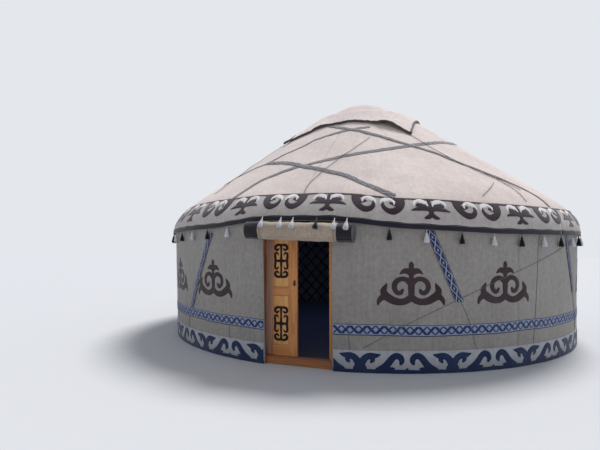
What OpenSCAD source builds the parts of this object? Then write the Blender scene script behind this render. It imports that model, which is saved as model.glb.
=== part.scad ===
// A felt-covered nomad yurt: lattice wall, bent roof poles and crown ring under
// tied felts, with a two-leaf wooden door. Millimetres, +Z up. The origin is on
// the ground at the middle of the floor, and the door faces -Y.
// Angles round the wall are measured from the door, growing towards +X.

/* [Wall] */
// Outer radius of the wall felt on the ground
wall_r = 3500; // [2900:10:4200]
// Outward lean of the wall over one metre of height
wall_lean = 35; // [0:1:60]
// Height of the wall felt
wall_h = 1840; // [1760:10:2000]
// Thickness of the wall and roof felt
felt_t = 15; // [8:1:25]
// Number of felts round the wall
wall_felts = 9; // [6:1:12]

/* [Roof] */
// Height of the top of the roof felt, at the crown
crown_h = 3850; // [3400:10:4300]
// Radius of the smoke hole edge of the roof felt
crown_r = 950; // [800:10:1150]
// Rise of the crown slats above the ring
crown_rise = 380; // [250:10:450]
// Number of roof felts
roof_felts = 6; // [4:1:8]
// Half the length of the crown cover, from the door to the back
cover_half = 1380; // [1250:10:1600]
// Half the width of the crown cover
cover_half_w = 1110; // [1050:10:1600]

/* [Door] */
// Distance of the doorway's middle from the yurt's middle plane
door_x = -45; // [-80:5:80]
// Clear width between the jambs
door_w = 930; // [760:10:1050]
// Height of the underside of the lintel
door_h = 1715; // [1600:5:1715]
// Width of a jamb
jamb_w = 75; // [60:1:110]
// Depth of the frame, front to back
frame_d = 95; // [80:1:140]
// Height of the sill
sill_h = 95; // [60:1:140]
// Height of the lintel
lintel_h = 70; // [50:1:80]
// Thickness of a door leaf
leaf_t = 35; // [28:1:45]
// Angle at which the right leaf stands open
right_leaf_open = 100; // [0:1:110]

/* [Trim] */
// Height of the ornamented skirt
skirt_h = 260; // [180:5:320]
// Thickness of the skirt
skirt_t = 6; // [4:1:10]
// Width of the woven band round the wall
band_w = 130; // [90:5:160]
// Height of the middle of that band
band_z = 500; // [420:5:620]
// How far the frieze hangs below the top of the wall felt
eave_drop = 150; // [145:1:190]
// How far the frieze is raised over the door
eave_raise = 110; // [60:5:110]
// Diameter of the rolled door felt
roll_d = 230; // [180:5:240]
// Length of the rolled door felt
roll_len = 1380; // [1200:10:1500]
// Number of tassels round the eave
tassel_gaps = 47; // [31:2:61]

/* [Hidden] */
$fn = 96;
gap = 0.4;
running = 5;
hinge_gap = 9;
step_deg = 4;

door_half = door_w / 2;
frame_front = wall_r - felt_t - 55;
frame_back = frame_front - frame_d;
// The wall felt's edges stand this far outside a doorway in the middle: they hide the left jamb
felt_edge = -17;
wall_edge_deg = asin((door_half + felt_edge) / wall_r);
trim_edge_deg = asin((door_half - 10) / wall_r);

function wall_at(z) = wall_r + wall_lean * z / 1000;
function polar(a, r, z) = [r * sin(a), -r * cos(a), z];
function signed(a) = a > 180 ? a - 360 : a;

// Roof felt, outer side: upright at its lower edge, round the shoulder, then straight
shoulder_n = 8;
eave_r = wall_r + wall_lean * wall_h / 1000 + 26;
eave_low = wall_h - 120;
shoulder_w = 410;
slope_r = eave_r - shoulder_w;
slope_z = wall_h + 420;
roof_slope = (crown_h - slope_z) / (slope_r - crown_r);
roof_tilt = atan(roof_slope);
bend = [eave_r, slope_z - shoulder_w * roof_slope];
function shoulder_at(t) =
    pow(1 - t, 2) * [eave_r, eave_low] + 2 * t * (1 - t) * bend + t * t * [slope_r, slope_z];
shoulder = [for (i = [0:shoulder_n]) shoulder_at(i / shoulder_n)];
roof_line = concat(shoulder, [[crown_r, crown_h]]);
// The roof felt starts two points up the shoulder, just above the wall felt
felt_line = [for (i = [2:len(roof_line) - 1]) roof_line[i]];

// Height of the roof felt's outer side at a radius, and its radius at a height
function roof_at(r) = r < slope_r
    ? crown_h - (r - crown_r) * roof_slope
    : lookup(r, [for (i = [shoulder_n:-1:1]) shoulder[i]]);
function radius_at(z) = lookup(z, [for (p = roof_line) [p[1], p[0]]]);

// A line moved square to itself, towards the inside of the yurt for d > 0
function unit(v) = v / norm(v);
function left_of(v) = [-v[1], v[0]];
function side_step(line, i, d) =
    let (before = i > 0 ? unit(line[i] - line[i - 1]) : unit(line[1] - line[0]),
         after = i < len(line) - 1 ? unit(line[i + 1] - line[i]) : before,
         n = unit(left_of(before) + left_of(after)))
    line[i] + n * d / (n * left_of(before));
function moved(line, d) = [for (i = [0:len(line) - 1]) side_step(line, i, d)];
function reversed(line) = [for (i = [len(line) - 1:-1:0]) line[i]];

// Lattice: flat sides of a ring of panels, just inside the wall felt
lattice_sections = 6;
sides_per_section = 4;
lattice_sides = lattice_sections * sides_per_section;
lattice_t = 20;
slat_w = 28;
lattice_h = wall_h - 280;
lattice_start = asin((door_half + jamb_w + 7 + abs(door_x)) / wall_r);
side_deg = (360 - 2 * lattice_start) / lattice_sides;
function lattice_corner(z) = wall_at(z) - felt_t - 0.35;
function lattice_face(z) = lattice_corner(z) * cos(side_deg / 2);
lattice_tilt = atan(wall_lean * cos(side_deg / 2) / 1000);
// The outermost crossings lie this far outside a side, so no slat's corner falls on its edge
crossing_out = 8;

// Poles: three to a lattice side, and three over the lintel
poles_per_side = 3;
pole_pitch = side_deg / poles_per_side;
pole_w = 32;
pole_d = 40;
pole_groups = 4;
over_door_poles = 3;

ring_r = crown_r - 20;
ring_w = 130;
ring_h = 105;
ring_top = crown_h + 15;
slat_sphere_a = ring_r - ring_w;
slat_sphere_r = (pow(slat_sphere_a, 2) + pow(crown_rise, 2)) / (2 * crown_rise);
slat_sphere_z = ring_top - 15 + crown_rise - slat_sphere_r;

// Frieze at the eave: it rises over the door, and its left side stays higher
eave_z = wall_h - eave_drop;
frieze_t = 8;
frieze_lift = 5.4;
frieze_n = 8;
function eave_at(a) = eave_z + lookup(a, [[-180, 0], [-92, -30], [-60, 0.07 * eave_raise],
    [-32, 0.36 * eave_raise], [-20, 0.45 * eave_raise], [-8, 1.13 * eave_raise], [8, 0.95 * eave_raise],
    [20, 0.09 * eave_raise], [32, -25], [40, -48], [56, -50], [92, -30], [180, 0]]);
function frieze_top(a) = eave_at(a) + lookup(a, [[-180, 340], [-100, 345], [-60, 387], [-24, 410], [-6, 340],
    [6, 343], [30, 360], [60, 350], [180, 340]]);

// A shell of revolution between two angles, from a profile of [radius, height]
module turned(a0, a1, profile) {
    rotate([0, 0, a0 - 90]) rotate_extrude(angle = a1 - a0, $fn = 240) polygon(profile);
}

// A closed skin whose cross-section, a list of [radius, height], changes with the angle
module lofted(angles, section) {
    rings = [for (a = angles) [for (p = section(a)) polar(a, p[0], p[1])]];
    n = len(rings[0]);
    last = len(angles) - 1;
    points = [for (ring = rings) for (p = ring) p];
    sides = [for (i = [0:last - 1]) for (j = [0:n - 1]) let (k = (j + 1) % n)
             each [[i * n + j, i * n + k, (i + 1) * n + k], [i * n + j, (i + 1) * n + k, (i + 1) * n + j]]];
    ends = [[for (j = [n - 1:-1:0]) j], [for (j = [0:n - 1]) last * n + j]];
    polyhedron(points, concat(sides, ends), convexity = 6);
}

function steps(a0, a1) = let (n = ceil((a1 - a0) / step_deg)) [for (i = [0:n]) a0 + (a1 - a0) * i / n];

module floor_mat() {
    mat_r = lattice_face(0) - lattice_t - 15;
    color("darkred") difference() {
        cylinder(h = 30, r = mat_r, $fn = 240);
        translate([door_x - door_half - jamb_w - 20, -wall_r, -1])
            cube([door_w + 2 * jamb_w + 40, wall_r - frame_back + gap, 40]);
    }
}

pin_r = 10;
pin_len = 25;
pin_fit = 0.06;
pin_x = door_half - hinge_gap - leaf_t / 2;
pin_y = -(frame_back + leaf_t / 2);
leaf_z0 = sill_h + running;
leaf_z1 = door_h - running;

module pin_bores(z) {
    for (s = [-1, 1]) translate([door_x + s * pin_x, pin_y, z])
        cylinder(h = pin_len + 6, r = pin_r + pin_fit);
}

module door_sill() {
    color("peru") difference() {
        translate([door_x - door_half - jamb_w, -frame_front, 0])
            cube([door_w + 2 * jamb_w, frame_d, sill_h]);
        pin_bores(sill_h - pin_len - 5);
    }
}

module door_lintel() {
    color("peru") difference() {
        translate([door_x - door_half - jamb_w, -frame_front, door_h])
            cube([door_w + 2 * jamb_w, frame_d, lintel_h]);
        pin_bores(door_h - 1);
    }
}

module door_jamb(side) {
    color("sienna")
        translate([door_x + side * (door_half + jamb_w / 2) - jamb_w / 2, -frame_front, sill_h])
            cube([jamb_w, frame_d, door_h - sill_h]);
}

stile_w = 110;
rail_w = 85;
bottom_rail_w = 120;
panel_t = 14;
leaf_w = door_half - hinge_gap - running / 2;
mid_rail_z = 910;

// Heights of the two openings in a leaf, between its rails
lower_panel = [leaf_z0 + bottom_rail_w, mid_rail_z - rail_w / 2];
upper_panel = [mid_rail_z + rail_w / 2, leaf_z1 - rail_w];

module leaf_frame() {
    swing = leaf_w - leaf_t / 2;
    color("sandybrown") {
        difference() {
            union() {
                translate([0, -leaf_t / 2, leaf_z0]) cube([swing, leaf_t, leaf_z1 - leaf_z0]);
                translate([0, 0, leaf_z0]) cylinder(h = leaf_z1 - leaf_z0, r = leaf_t / 2);
            }
            for (p = [lower_panel, upper_panel])
                translate([stile_w - leaf_t / 2, -leaf_t, p[0]])
                    cube([leaf_w - 2 * stile_w, 2 * leaf_t, p[1] - p[0]]);
        }
        translate([0, 0, leaf_z0 - pin_len]) cylinder(h = pin_len, r = pin_r);
        translate([0, 0, leaf_z1]) cylinder(h = pin_len, r = pin_r);
    }
}

module leaf_panels() {
    color("burlywood") for (p = [lower_panel, upper_panel])
        translate([stile_w - leaf_t / 2 + gap, -panel_t / 2, p[0] + gap])
            cube([leaf_w - 2 * stile_w - 2 * gap, panel_t, p[1] - p[0] - 2 * gap]);
}

module hung_left() {
    translate([door_x - pin_x, pin_y, 0]) children();
}

module hung_right() {
    translate([door_x + pin_x, pin_y, 0]) rotate([0, 0, -right_leaf_open]) mirror([1, 0, 0]) children();
}

// One slat of a flat lattice side, as a plan outline that widens with the wall
module flat_slat(x0, z0, x1, z1) {
    along = unit([x1 - x0, z1 - z0]);
    across = left_of(along) * slat_w / 2;
    widen = function(p) [p[0] * lattice_corner(p[1]) / lattice_corner(0), p[1]];
    polygon([for (p = [[x0, z0] + across, [x0, z0] - across, [x1, z1] - across, [x1, z1] + across])
             widen(p)]);
}

// A lattice side drawn flat: slats crossing both ways, three diamonds wide
module lattice_pattern() {
    half = lattice_corner(0) * sin(side_deg / 2) - lattice_t * tan(side_deg / 2) - 0.15;
    columns = 3;
    pitch = 2 * (half + crossing_out) / columns;
    rows = round((lattice_h + 2 * crossing_out) / (pitch * 1.15));
    reach = rows * pitch;
    intersection() {
        union() for (k = [-rows:columns + rows]) {
            foot = -half - crossing_out + (k + 0.5) * pitch;
            flat_slat(foot, -crossing_out, foot + reach, lattice_h + crossing_out);
            flat_slat(foot, -crossing_out, foot - reach, lattice_h + crossing_out);
        }
        polygon([[-half, 0], [half, 0],
                 [half * lattice_corner(lattice_h) / lattice_corner(0), lattice_h],
                 [-half * lattice_corner(lattice_h) / lattice_corner(0), lattice_h]]);
    }
}

module lattice(section) {
    color("indianred") for (i = [0:sides_per_section - 1])
        rotate([0, 0, lattice_start + ((section - 1) * sides_per_section + i + 0.5) * side_deg])
            translate([0, -lattice_face(0), 0]) rotate([90 + lattice_tilt, 0, 0])
                translate([0, 0, -lattice_t]) linear_extrude(lattice_t) lattice_pattern();
}

// A bent pole standing in the radial plane, from its foot to the crown ring
module pole(a, foot_r, foot_z) {
    under = moved(roof_line, felt_t + gap);
    top = [ring_r + gap, crown_h - (ring_r + gap - crown_r) * roof_slope - (felt_t + gap) / cos(roof_tilt)];
    foot = foot_z < lattice_h
        ? [[foot_r, foot_z], [foot_r + (lattice_h + 6 - foot_z) * wall_lean / 1000, lattice_h + 6]]
        : [[foot_r, foot_z]];
    outer = concat(foot, [for (i = [4:shoulder_n]) under[i]], [top]);
    inner = moved(outer, pole_d);
    low = [top[0], top[1] - pole_d / cos(roof_tilt)];
    profile = concat(outer, [low], reversed([for (i = [1:len(inner) - 2]) inner[i]]),
                     [[foot_r - pole_d, foot_z]]);
    rotate([0, 0, a - 90]) rotate([90, 0, 0]) translate([0, 0, -pole_w / 2])
        linear_extrude(pole_w) polygon(profile);
}

module roof_poles(group) {
    count = lattice_sides * poles_per_side;
    per_group = count / pole_groups;
    foot_z = lattice_h - 90;
    color("firebrick") {
        for (i = [(group - 1) * per_group:group * per_group - 1]) {
            off = ((i % poles_per_side) - (poles_per_side - 1) / 2) * pole_pitch;
            reach = (lattice_face(foot_z) - lattice_t) / cos(off) - pole_w / 2 * tan(abs(off)) - gap;
            pole(lattice_start + (i + 0.5) * pole_pitch, reach, foot_z);
        }
        if (group == 1) for (k = [0:over_door_poles - 1])
            pole((k - (over_door_poles - 1) / 2) * pole_pitch, frame_front - 6, door_h + lintel_h + gap);
    }
}

module crown_ring() {
    color("firebrick") difference() {
        translate([0, 0, ring_top - ring_h]) cylinder(h = ring_h, r = ring_r, $fn = 240);
        translate([0, 0, ring_top - ring_h - 1]) cylinder(h = ring_h + 2, r = ring_r - ring_w, $fn = 240);
    }
}

module crown_slats() {
    slat_t = 22;
    slat_span = 34;
    color("indianred") intersection() {
        translate([0, 0, slat_sphere_z]) difference() {
            sphere(r = slat_sphere_r, $fn = 240);
            sphere(r = slat_sphere_r - slat_t, $fn = 240);
        }
        union() for (turn = [0, 90]) rotate([0, 0, turn]) for (k = [-1:1])
            translate([-ring_r, k * 190 - slat_span / 2, slat_sphere_z]) cube([2 * ring_r, slat_span, 2000]);
        translate([0, 0, slat_sphere_z]) cylinder(h = 2000, r = ring_r - ring_w - gap, $fn = 240);
    }
}

// Underside of the crown cover: over the slats, then the ring's edge, then the roof felt
cover_lift = 16;
cover_t = 12;
cover_cells = 22;
cover_cell = 2 * max(cover_half, cover_half_w) / cover_cells;
dome_lift = 2.4 + pow(cover_cell, 2) / (4 * slat_sphere_r);
dome_r = 0.86 * slat_sphere_a;
felt_r = ring_r + 370;
function dome_at(r) = slat_sphere_z + sqrt(pow(slat_sphere_r + dome_lift, 2) - r * r);
function cover_at(r) =
    r <= dome_r ? dome_at(r)
    : r >= felt_r ? roof_at(r) + cover_lift
    : lookup(r, [[dome_r, dome_at(dome_r)], [ring_r + 10, ring_top + cover_lift],
                 [felt_r, roof_at(felt_r) + cover_lift]]);

module crown_cover() {
    cells = cover_cells;
    n = cells + 1;
    across = function(i) cover_half_w * (2 * i / cells - 1);
    along = function(j) cover_half * (2 * j / cells - 1);
    under = [for (i = [0:cells]) for (j = [0:cells])
             [across(i), along(j), cover_at(norm([across(i), along(j)]))]];
    over = [for (p = under) p + [0, 0, cover_t / cos(roof_tilt)]];
    half_faces = [for (i = [0:cells - 1]) for (j = [0:cells - 1])
                  each [[i * n + j, (i + 1) * n + j, i * n + j + 1],
                        [(i + 1) * n + j, (i + 1) * n + j + 1, i * n + j + 1]]];
    rim = concat([for (i = [0:cells - 1]) i * n], [for (j = [0:cells - 1]) cells * n + j],
                 [for (i = [cells:-1:1]) i * n + cells], [for (j = [cells:-1:1]) j]);
    m = n * n;
    walls = [for (k = [0:len(rim) - 1]) let (p = rim[k], q = rim[(k + 1) % len(rim)])
             each [[p, p + m, q], [q, p + m, q + m]]];
    color("antiquewhite") polyhedron(concat(under, over), concat(
        [for (f = half_faces) f], [for (f = half_faces) [f[0] + m, f[2] + m, f[1] + m]], walls));
}

module wall_felt(k) {
    span = (360 - 2 * wall_edge_deg) / wall_felts;
    a0 = wall_edge_deg + (k - 1) * span;
    seam = 0.01;
    color("tan") turned(a0 + seam, a0 + span - seam,
        [[wall_at(0) - felt_t, 0], [wall_at(0), 0],
         [wall_at(wall_h), wall_h], [wall_at(wall_h) - felt_t, wall_h]]);
}

module roof_felt(k) {
    span = 360 / roof_felts;
    seam = 0.01;
    color("antiquewhite")
        turned((k - 1) * span + seam, k * span - seam, concat(felt_line, reversed(moved(felt_line, felt_t))));
}

// Each section of the frieze climbs the shoulder of the roof from its lower edge
module eave_frieze(k) {
    section = function(a) let (
        b = signed(a), low = eave_at(b), high = frieze_top(b),
        zs = [for (i = [0:frieze_n]) low + (high - low) * i / frieze_n],
        line = moved([for (z = zs) [radius_at(z), z]], -frieze_lift))
        concat(line, reversed(moved(line, -frieze_t)));
    color("wheat") lofted(steps((k - 1) * 120 + 60 + 0.01, k * 120 + 60 - 0.01), section);
}

module skirt(k) {
    span = (360 - 2 * trim_edge_deg) / 3;
    a0 = trim_edge_deg + (k - 1) * span;
    r0 = wall_at(0) + gap;
    r1 = wall_at(skirt_h) + gap;
    color("wheat") turned(a0 + 0.01, a0 + span - 0.01,
        [[r0, 0], [r0 + skirt_t, 0], [r1 + skirt_t, skirt_h], [r1, skirt_h]]);
}

band_t = 4;

module wall_band() {
    z0 = band_z - band_w / 2;
    z1 = band_z + band_w / 2;
    color("slategray") turned(wall_edge_deg + 0.2, 360 - wall_edge_deg - 0.2,
        [[wall_at(z0) + gap, z0], [wall_at(z0) + gap + band_t, z0],
         [wall_at(z1) + gap + band_t, z1], [wall_at(z1) + gap, z1]]);
}

// A strip of webbing that lies on a surface, given by the feet of its two edges and by
// its lifts at the start and at the end
module webbing(left, right, lifts, thick) {
    n = len(left);
    up = function(i) unit(cross(right[i] - left[i], left[min(i + 1, n - 1)] - left[max(i - 1, 0)]));
    lift = function(i) lookup(i / (n - 1), [[0.5, lifts[0]], [0.8, lifts[1]]]);
    ring = function(i) [left[i] + up(i) * lift(i), right[i] + up(i) * lift(i),
                        right[i] + up(i) * (lift(i) + thick), left[i] + up(i) * (lift(i) + thick)];
    points = [for (i = [0:n - 1]) for (p = ring(i)) p];
    sides = [for (i = [0:n - 2]) for (j = [0:3]) let (k = (j + 1) % 4)
             each [[i * 4 + j, (i + 1) * 4 + k, i * 4 + k], [i * 4 + j, (i + 1) * 4 + j, (i + 1) * 4 + k]]];
    last = (n - 1) * 4;
    polyhedron(points, concat(sides, [[0, 1, 2, 3], [last + 3, last + 2, last + 1, last]]));
}

strap_w = 95;
strap_slants = [9.2 / 1000, 7.1 / 1000];
strap_top_z = eave_z - 18;
strap_angles = [26, 64, 103, 142];
first_left_strap = 22.9;
strap_low_z = 830;
strap_t = 4;
wall_strap_lift = 1.7;

// A strap on the wall, slanting away from the door as it comes down. The first one on the
// left goes on to the woven band
module wall_strap(a_top, side, low_z) {
    slant = strap_slants[side < 0 ? 0 : 1];
    n = ceil((strap_top_z - low_z) / 90);
    zs = [for (i = [0:n]) strap_top_z + (low_z - strap_top_z) * i / n];
    half_deg = strap_w / 2 / wall_r * 180 / PI / cos(25);
    at = function(z, off) let (a = side * (a_top + (strap_top_z - z) * slant + off))
        polar(a, wall_at(z), z);
    l = [for (z = zs) at(z, -half_deg)];
    r = [for (z = zs) at(z, half_deg)];
    lifts = [wall_strap_lift, wall_strap_lift];
    if (side > 0) webbing(r, l, lifts, strap_t); else webbing(l, r, lifts, strap_t);
}

module wall_straps() {
    color("slategray") {
        wall_strap(first_left_strap, -1, band_z + band_w / 2 + 4);
        wall_strap(strap_angles[0], 1, strap_low_z);
        for (side = [-1, 1]) for (i = [1:len(strap_angles) - 1])
            wall_strap(strap_angles[i], side, strap_low_z);
    }
}

// Straps tied over the roof: lines of [angle from the door, radius], and their widths
strap_lines = [
    [[-19.5, 3310], [-17.2, 2960], [-11.8, 2750], [-3.6, 2600], [5.7, 2460], [14.8, 2350], [27.7, 2210],
     [37, 2090], [50, 1960], [64, 1860], [78, 1780]],
    [[-27, 2400], [-10, 2560], [-4, 2680], [4, 2830], [9.5, 2970], [13.5, 3140], [17, 3290], [20, 3380]],
    [[-45, 2780], [-36, 2560], [-27, 2390], [-22.5, 2220], [-17, 2050], [-12, 1850], [-4.7, 1720],
     [5.6, 1590], [17.6, 1530]],
    [[-16, 1330], [-7.4, 1400], [1.4, 1520], [12, 1670], [18, 1790], [27, 2000], [33, 2150], [40, 2340],
     [45.5, 2570], [51, 2790], [56, 3000], [59, 3170], [60, 3340], [60, 3440]]];
strap_widths = [80, 75, 70, 70];
// Lifts of a strap at its start and at its end, just above the frieze
strap_lifts = [[1.3, 1.3], [6.3, 3.2], [1.3, 1.3], [6.3, 3.2]];

function flat(p) = [p[1] * sin(p[0]), -p[1] * cos(p[0])];
// A line divided into short steps, shorter where the roof bends over the shoulder
function finer(line) = concat([line[0]], [for (i = [1:len(line) - 1])
    let (most = max(norm(line[i]), norm(line[i - 1])) > slope_r - 60 ? 45 : 110,
         n = ceil(norm(line[i] - line[i - 1]) / most))
    for (k = [1:n]) line[i - 1] + (line[i] - line[i - 1]) * k / n]);

module roof_strap(line, width, lifts) {
    path = finer([for (p = line) flat(p)]);
    n = len(path);
    along = function(i) unit(path[min(i + 1, n - 1)] - path[max(i - 1, 0)]);
    on_roof = function(p) [p[0], p[1], roof_at(norm(p))];
    l = [for (i = [0:n - 1]) on_roof(path[i] + left_of(along(i)) * width / 2)];
    r = [for (i = [0:n - 1]) on_roof(path[i] - left_of(along(i)) * width / 2)];
    webbing(l, r, lifts, strap_t);
}

module roof_straps() {
    color("slategray") for (turn = [0, 180]) rotate([0, 0, turn])
        for (i = [0:len(strap_lines) - 1]) roof_strap(strap_lines[i], strap_widths[i], strap_lifts[i]);
}

roll_z = door_h - 48;
roll_y = -(sqrt(pow(wall_at(roll_z), 2) - pow(door_half + felt_edge, 2)) + roll_d / 2 + 0.6);
roll_x = 75;
roll_slope = 2.3;
roll_end = 185;

module on_roll() {
    translate([roll_x, roll_y, roll_z]) rotate([0, 90 + roll_slope, 0]) children();
}

module door_roll() {
    color("wheat") on_roll() translate([0, 0, -roll_len / 2 + roll_end])
        cylinder(h = roll_len - 2 * roll_end, d = roll_d);
}

module door_roll_ends() {
    color("saddlebrown") on_roll() for (s = [0, 1]) mirror([0, 0, s])
        translate([0, 0, roll_len / 2 - roll_end + gap]) cylinder(h = roll_end, d = roll_d - 2);
}

rope_r = 4;
rope_radius = eave_r + frieze_lift + frieze_t / 2;

module tassel_rope() {
    section = function(a) let (z = eave_at(signed(a)) - rope_r - gap)
        [for (t = [0:60:300]) [rope_radius + rope_r * cos(t), z + rope_r * sin(t)]];
    color("dimgray") {
        lofted(steps(0, 179.9), section);
        lofted(steps(180, 359.9), section);
    }
}

tassel_h = 95;
tassel_start = 18.3;
tassel_last = 343.4;
tassel_pitch = (tassel_last - tassel_start) / tassel_gaps;
cord_h = 34;
light_on_roll = [-5.9, -1.9, 0.6, 8.9, 11.3];
dark_on_roll = [5.4];

module tassel() {
    translate([0, 0, -cord_h]) cylinder(h = cord_h, r = 5, $fn = 24);
    translate([0, 0, -cord_h - 16]) cylinder(h = 16, r = 14, $fn = 24);
    translate([0, 0, -cord_h - 16 - tassel_h]) cylinder(h = tassel_h, r1 = 30, r2 = 13, $fn = 24);
}

module hung_tassel(a) {
    translate(polar(a, rope_radius, eave_at(signed(a)) - 2 * rope_r - 2 * gap)) rotate([0, 0, a]) tassel();
}

// A tassel above the door lies on the front of the rolled felt
rest_tilt = 32;
rest_lift = 26;
rest_drop = 100;

module rested_tassel(a) {
    x = rope_radius * sin(a);
    translate([x, roll_y, roll_z - (x - roll_x) * tan(roll_slope)]) rotate([-rest_tilt, 0, 0])
        translate([0, -roll_d / 2 - rest_lift, rest_drop]) tassel();
}

module tassels(first, on_roll) {
    for (k = [first:2:tassel_gaps]) hung_tassel(tassel_start + k * tassel_pitch);
    for (a = on_roll) rested_tassel(a);
}

floor_mat();
door_sill();
door_jamb(-1);  // door_jamb_left
door_jamb(1);  // door_jamb_right
door_lintel();
hung_left() leaf_frame();  // door_leaf_left
hung_left() leaf_panels();  // door_panels_left
hung_right() leaf_frame();  // door_leaf_right
hung_right() leaf_panels();  // door_panels_right
for (i = [1:lattice_sections]) lattice(i);
for (i = [1:pole_groups]) roof_poles(i);
crown_ring();
crown_slats();
crown_cover();
for (i = [1:wall_felts]) wall_felt(i);
for (i = [1:roof_felts]) roof_felt(i);
for (i = [1:3]) eave_frieze(i);
for (i = [1:3]) skirt(i);
wall_band();
wall_straps();
roof_straps();
door_roll();
door_roll_ends();
tassel_rope();
color("white") tassels(1, light_on_roll);  // tassels_light
color("black") tassels(0, dark_on_roll);  // tassels_dark
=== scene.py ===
"""Looks of a felt-covered nomad yurt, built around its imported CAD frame.

Metres, +Z up. The door faces -Y, and angles round the yurt are in degrees from the
door, growing towards +X. Every felt lies on one of two turned profiles, the wall's
and the roof's, so a place on it is an angle, a distance along the profile, and a lift
off the surface.
"""

import logging
import math
from dataclasses import dataclass, field, replace
from enum import Enum
from typing import Callable, Sequence

import bpy
import numpy as np
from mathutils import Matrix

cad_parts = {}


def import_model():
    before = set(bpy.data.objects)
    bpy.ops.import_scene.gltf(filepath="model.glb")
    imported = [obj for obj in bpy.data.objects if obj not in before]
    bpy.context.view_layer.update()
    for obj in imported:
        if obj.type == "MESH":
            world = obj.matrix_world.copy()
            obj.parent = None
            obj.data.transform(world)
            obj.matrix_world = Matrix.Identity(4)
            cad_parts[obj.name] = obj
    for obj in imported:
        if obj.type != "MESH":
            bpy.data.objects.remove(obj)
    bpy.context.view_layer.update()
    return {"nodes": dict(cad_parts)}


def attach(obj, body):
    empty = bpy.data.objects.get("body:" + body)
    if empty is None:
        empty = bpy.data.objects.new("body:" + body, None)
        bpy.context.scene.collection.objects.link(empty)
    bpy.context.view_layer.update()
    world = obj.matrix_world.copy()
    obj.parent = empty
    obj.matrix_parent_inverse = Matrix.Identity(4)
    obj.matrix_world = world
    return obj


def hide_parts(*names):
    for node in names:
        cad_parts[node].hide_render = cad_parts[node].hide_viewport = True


LOG = logging.getLogger("yurt")
Array = np.ndarray
Point = tuple[float, float, float]
Finish = bpy.types.Material
Tree = bpy.types.NodeTree
Socket = bpy.types.NodeSocket
Thing = bpy.types.Object

# Outer profiles of wall and roof, in metres, as the CAD has them
WALL_R = 3.5
WALL_LEAN = 0.035
WALL_TOP = 1.84
SHOULDER_R = 3.5904
SHOULDER_FOOT = 1.72
SHOULDER_BEND = 1.9677
SLOPE_R = 3.1804
SLOPE_Z = 2.26
CROWN_R = 0.95
CROWN_Z = 3.85
# Radii at which lengths of cloth are turned into angles
CLOTH_R = 3.55
FRIEZE_R = 3.60
HORNS_R = 3.54
SKIRT_R = 3.51


def linear(code: str) -> tuple[float, float, float, float]:
    """Turn an sRGB hex colour into linear light.

    Args:
        code: The colour as six hex digits, with or without a leading #.

    Returns:
        Red, green, blue and an alpha of 1.
    """
    digits = code.lstrip("#")
    parts = [int(digits[i:i + 2], 16) / 255 for i in (0, 2, 4)]
    light = [c / 12.92 if c <= 0.04045 else ((c + 0.055) / 1.055) ** 2.4 for c in parts]
    return light[0], light[1], light[2], 1.0


def add_node(tree: Tree, kind: str, inputs: dict | None = None, **settings) -> bpy.types.Node:
    """Add a node with its settings, values and links.

    Args:
        tree: The node tree that gets the node.
        kind: The node's type name.
        inputs: For each input's name or number, a value or an output socket to link.
        settings: The node's own properties.

    Returns:
        The new node.
    """
    node = tree.nodes.new(kind)
    for name, value in settings.items():
        setattr(node, name, value)
    for key, value in (inputs or {}).items():
        socket = node.inputs[key]
        if isinstance(value, Socket):
            tree.links.new(value, socket)
        else:
            socket.default_value = value
    return node


def in_scene(name: str, data: bpy.types.ID) -> Thing:
    """Put data into the scene as a new object."""
    thing = bpy.data.objects.new(name, data)
    bpy.context.scene.collection.objects.link(thing)
    return thing


def mesh_object(name: str, points: Array, faces: Sequence, finish: Finish,
                uv: Array | None = None, smooth: bool = True,
                grain: Array | None = None) -> Thing:
    """Make a mesh object at the origin.

    Args:
        name: The piece's name.
        points: Its vertices, one row each.
        faces: Its faces, as rows of vertex numbers.
        finish: Its material.
        uv: For each vertex, where it lies on the cloth in metres.
        smooth: Whether its faces are shaded smooth.
        grain: For each vertex, its place in the board's own axes.

    Returns:
        The new object.
    """
    mesh = bpy.data.meshes.new(name)
    rows = [tuple(int(i) for i in f) for f in faces]
    mesh.from_pydata([tuple(p) for p in np.asarray(points, float)], [], rows)
    if uv is not None:
        layer = mesh.uv_layers.new(name="cloth")
        loops = np.zeros(len(mesh.loops), np.int32)
        mesh.loops.foreach_get("vertex_index", loops)
        layer.data.foreach_set("uv", np.asarray(uv, np.float32)[loops].ravel())
    if grain is not None:
        attribute = mesh.attributes.new("grain", "FLOAT_VECTOR", "POINT")
        attribute.data.foreach_set("vector", np.asarray(grain, np.float32).ravel())
    mesh.materials.append(finish)
    mesh.polygons.foreach_set("use_smooth", [smooth] * len(mesh.polygons))
    mesh.update()
    return in_scene(name, mesh)


def joined(parts: Sequence[tuple[Array, Array]]) -> tuple[Array, list]:
    """Put several lists of points and faces together.

    Args:
        parts: Pairs of points and faces.

    Returns:
        All points, and all faces with their numbers moved on.
    """
    points, faces, start = [], [], 0
    for p, f in parts:
        points.append(np.asarray(p, float))
        faces.extend([tuple(int(i) + start for i in face) for face in f])
        start += len(p)
    return np.vstack(points), faces


def grid_faces(rows: int, columns: int, start: int = 0, turned: bool = False) -> list:
    """Quads between the points of a grid.

    Args:
        rows: Number of rows of points.
        columns: Number of points in a row.
        start: Number of the first point.
        turned: Whether the faces look the other way.

    Returns:
        The faces.
    """
    i, j = np.meshgrid(np.arange(rows - 1), np.arange(columns - 1), indexing="ij")
    a = (start + i * columns + j).ravel()
    quads = np.stack([a, a + 1, a + columns + 1, a + columns], 1)
    return [tuple(q[::-1]) if turned else tuple(q) for q in quads.tolist()]


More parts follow.
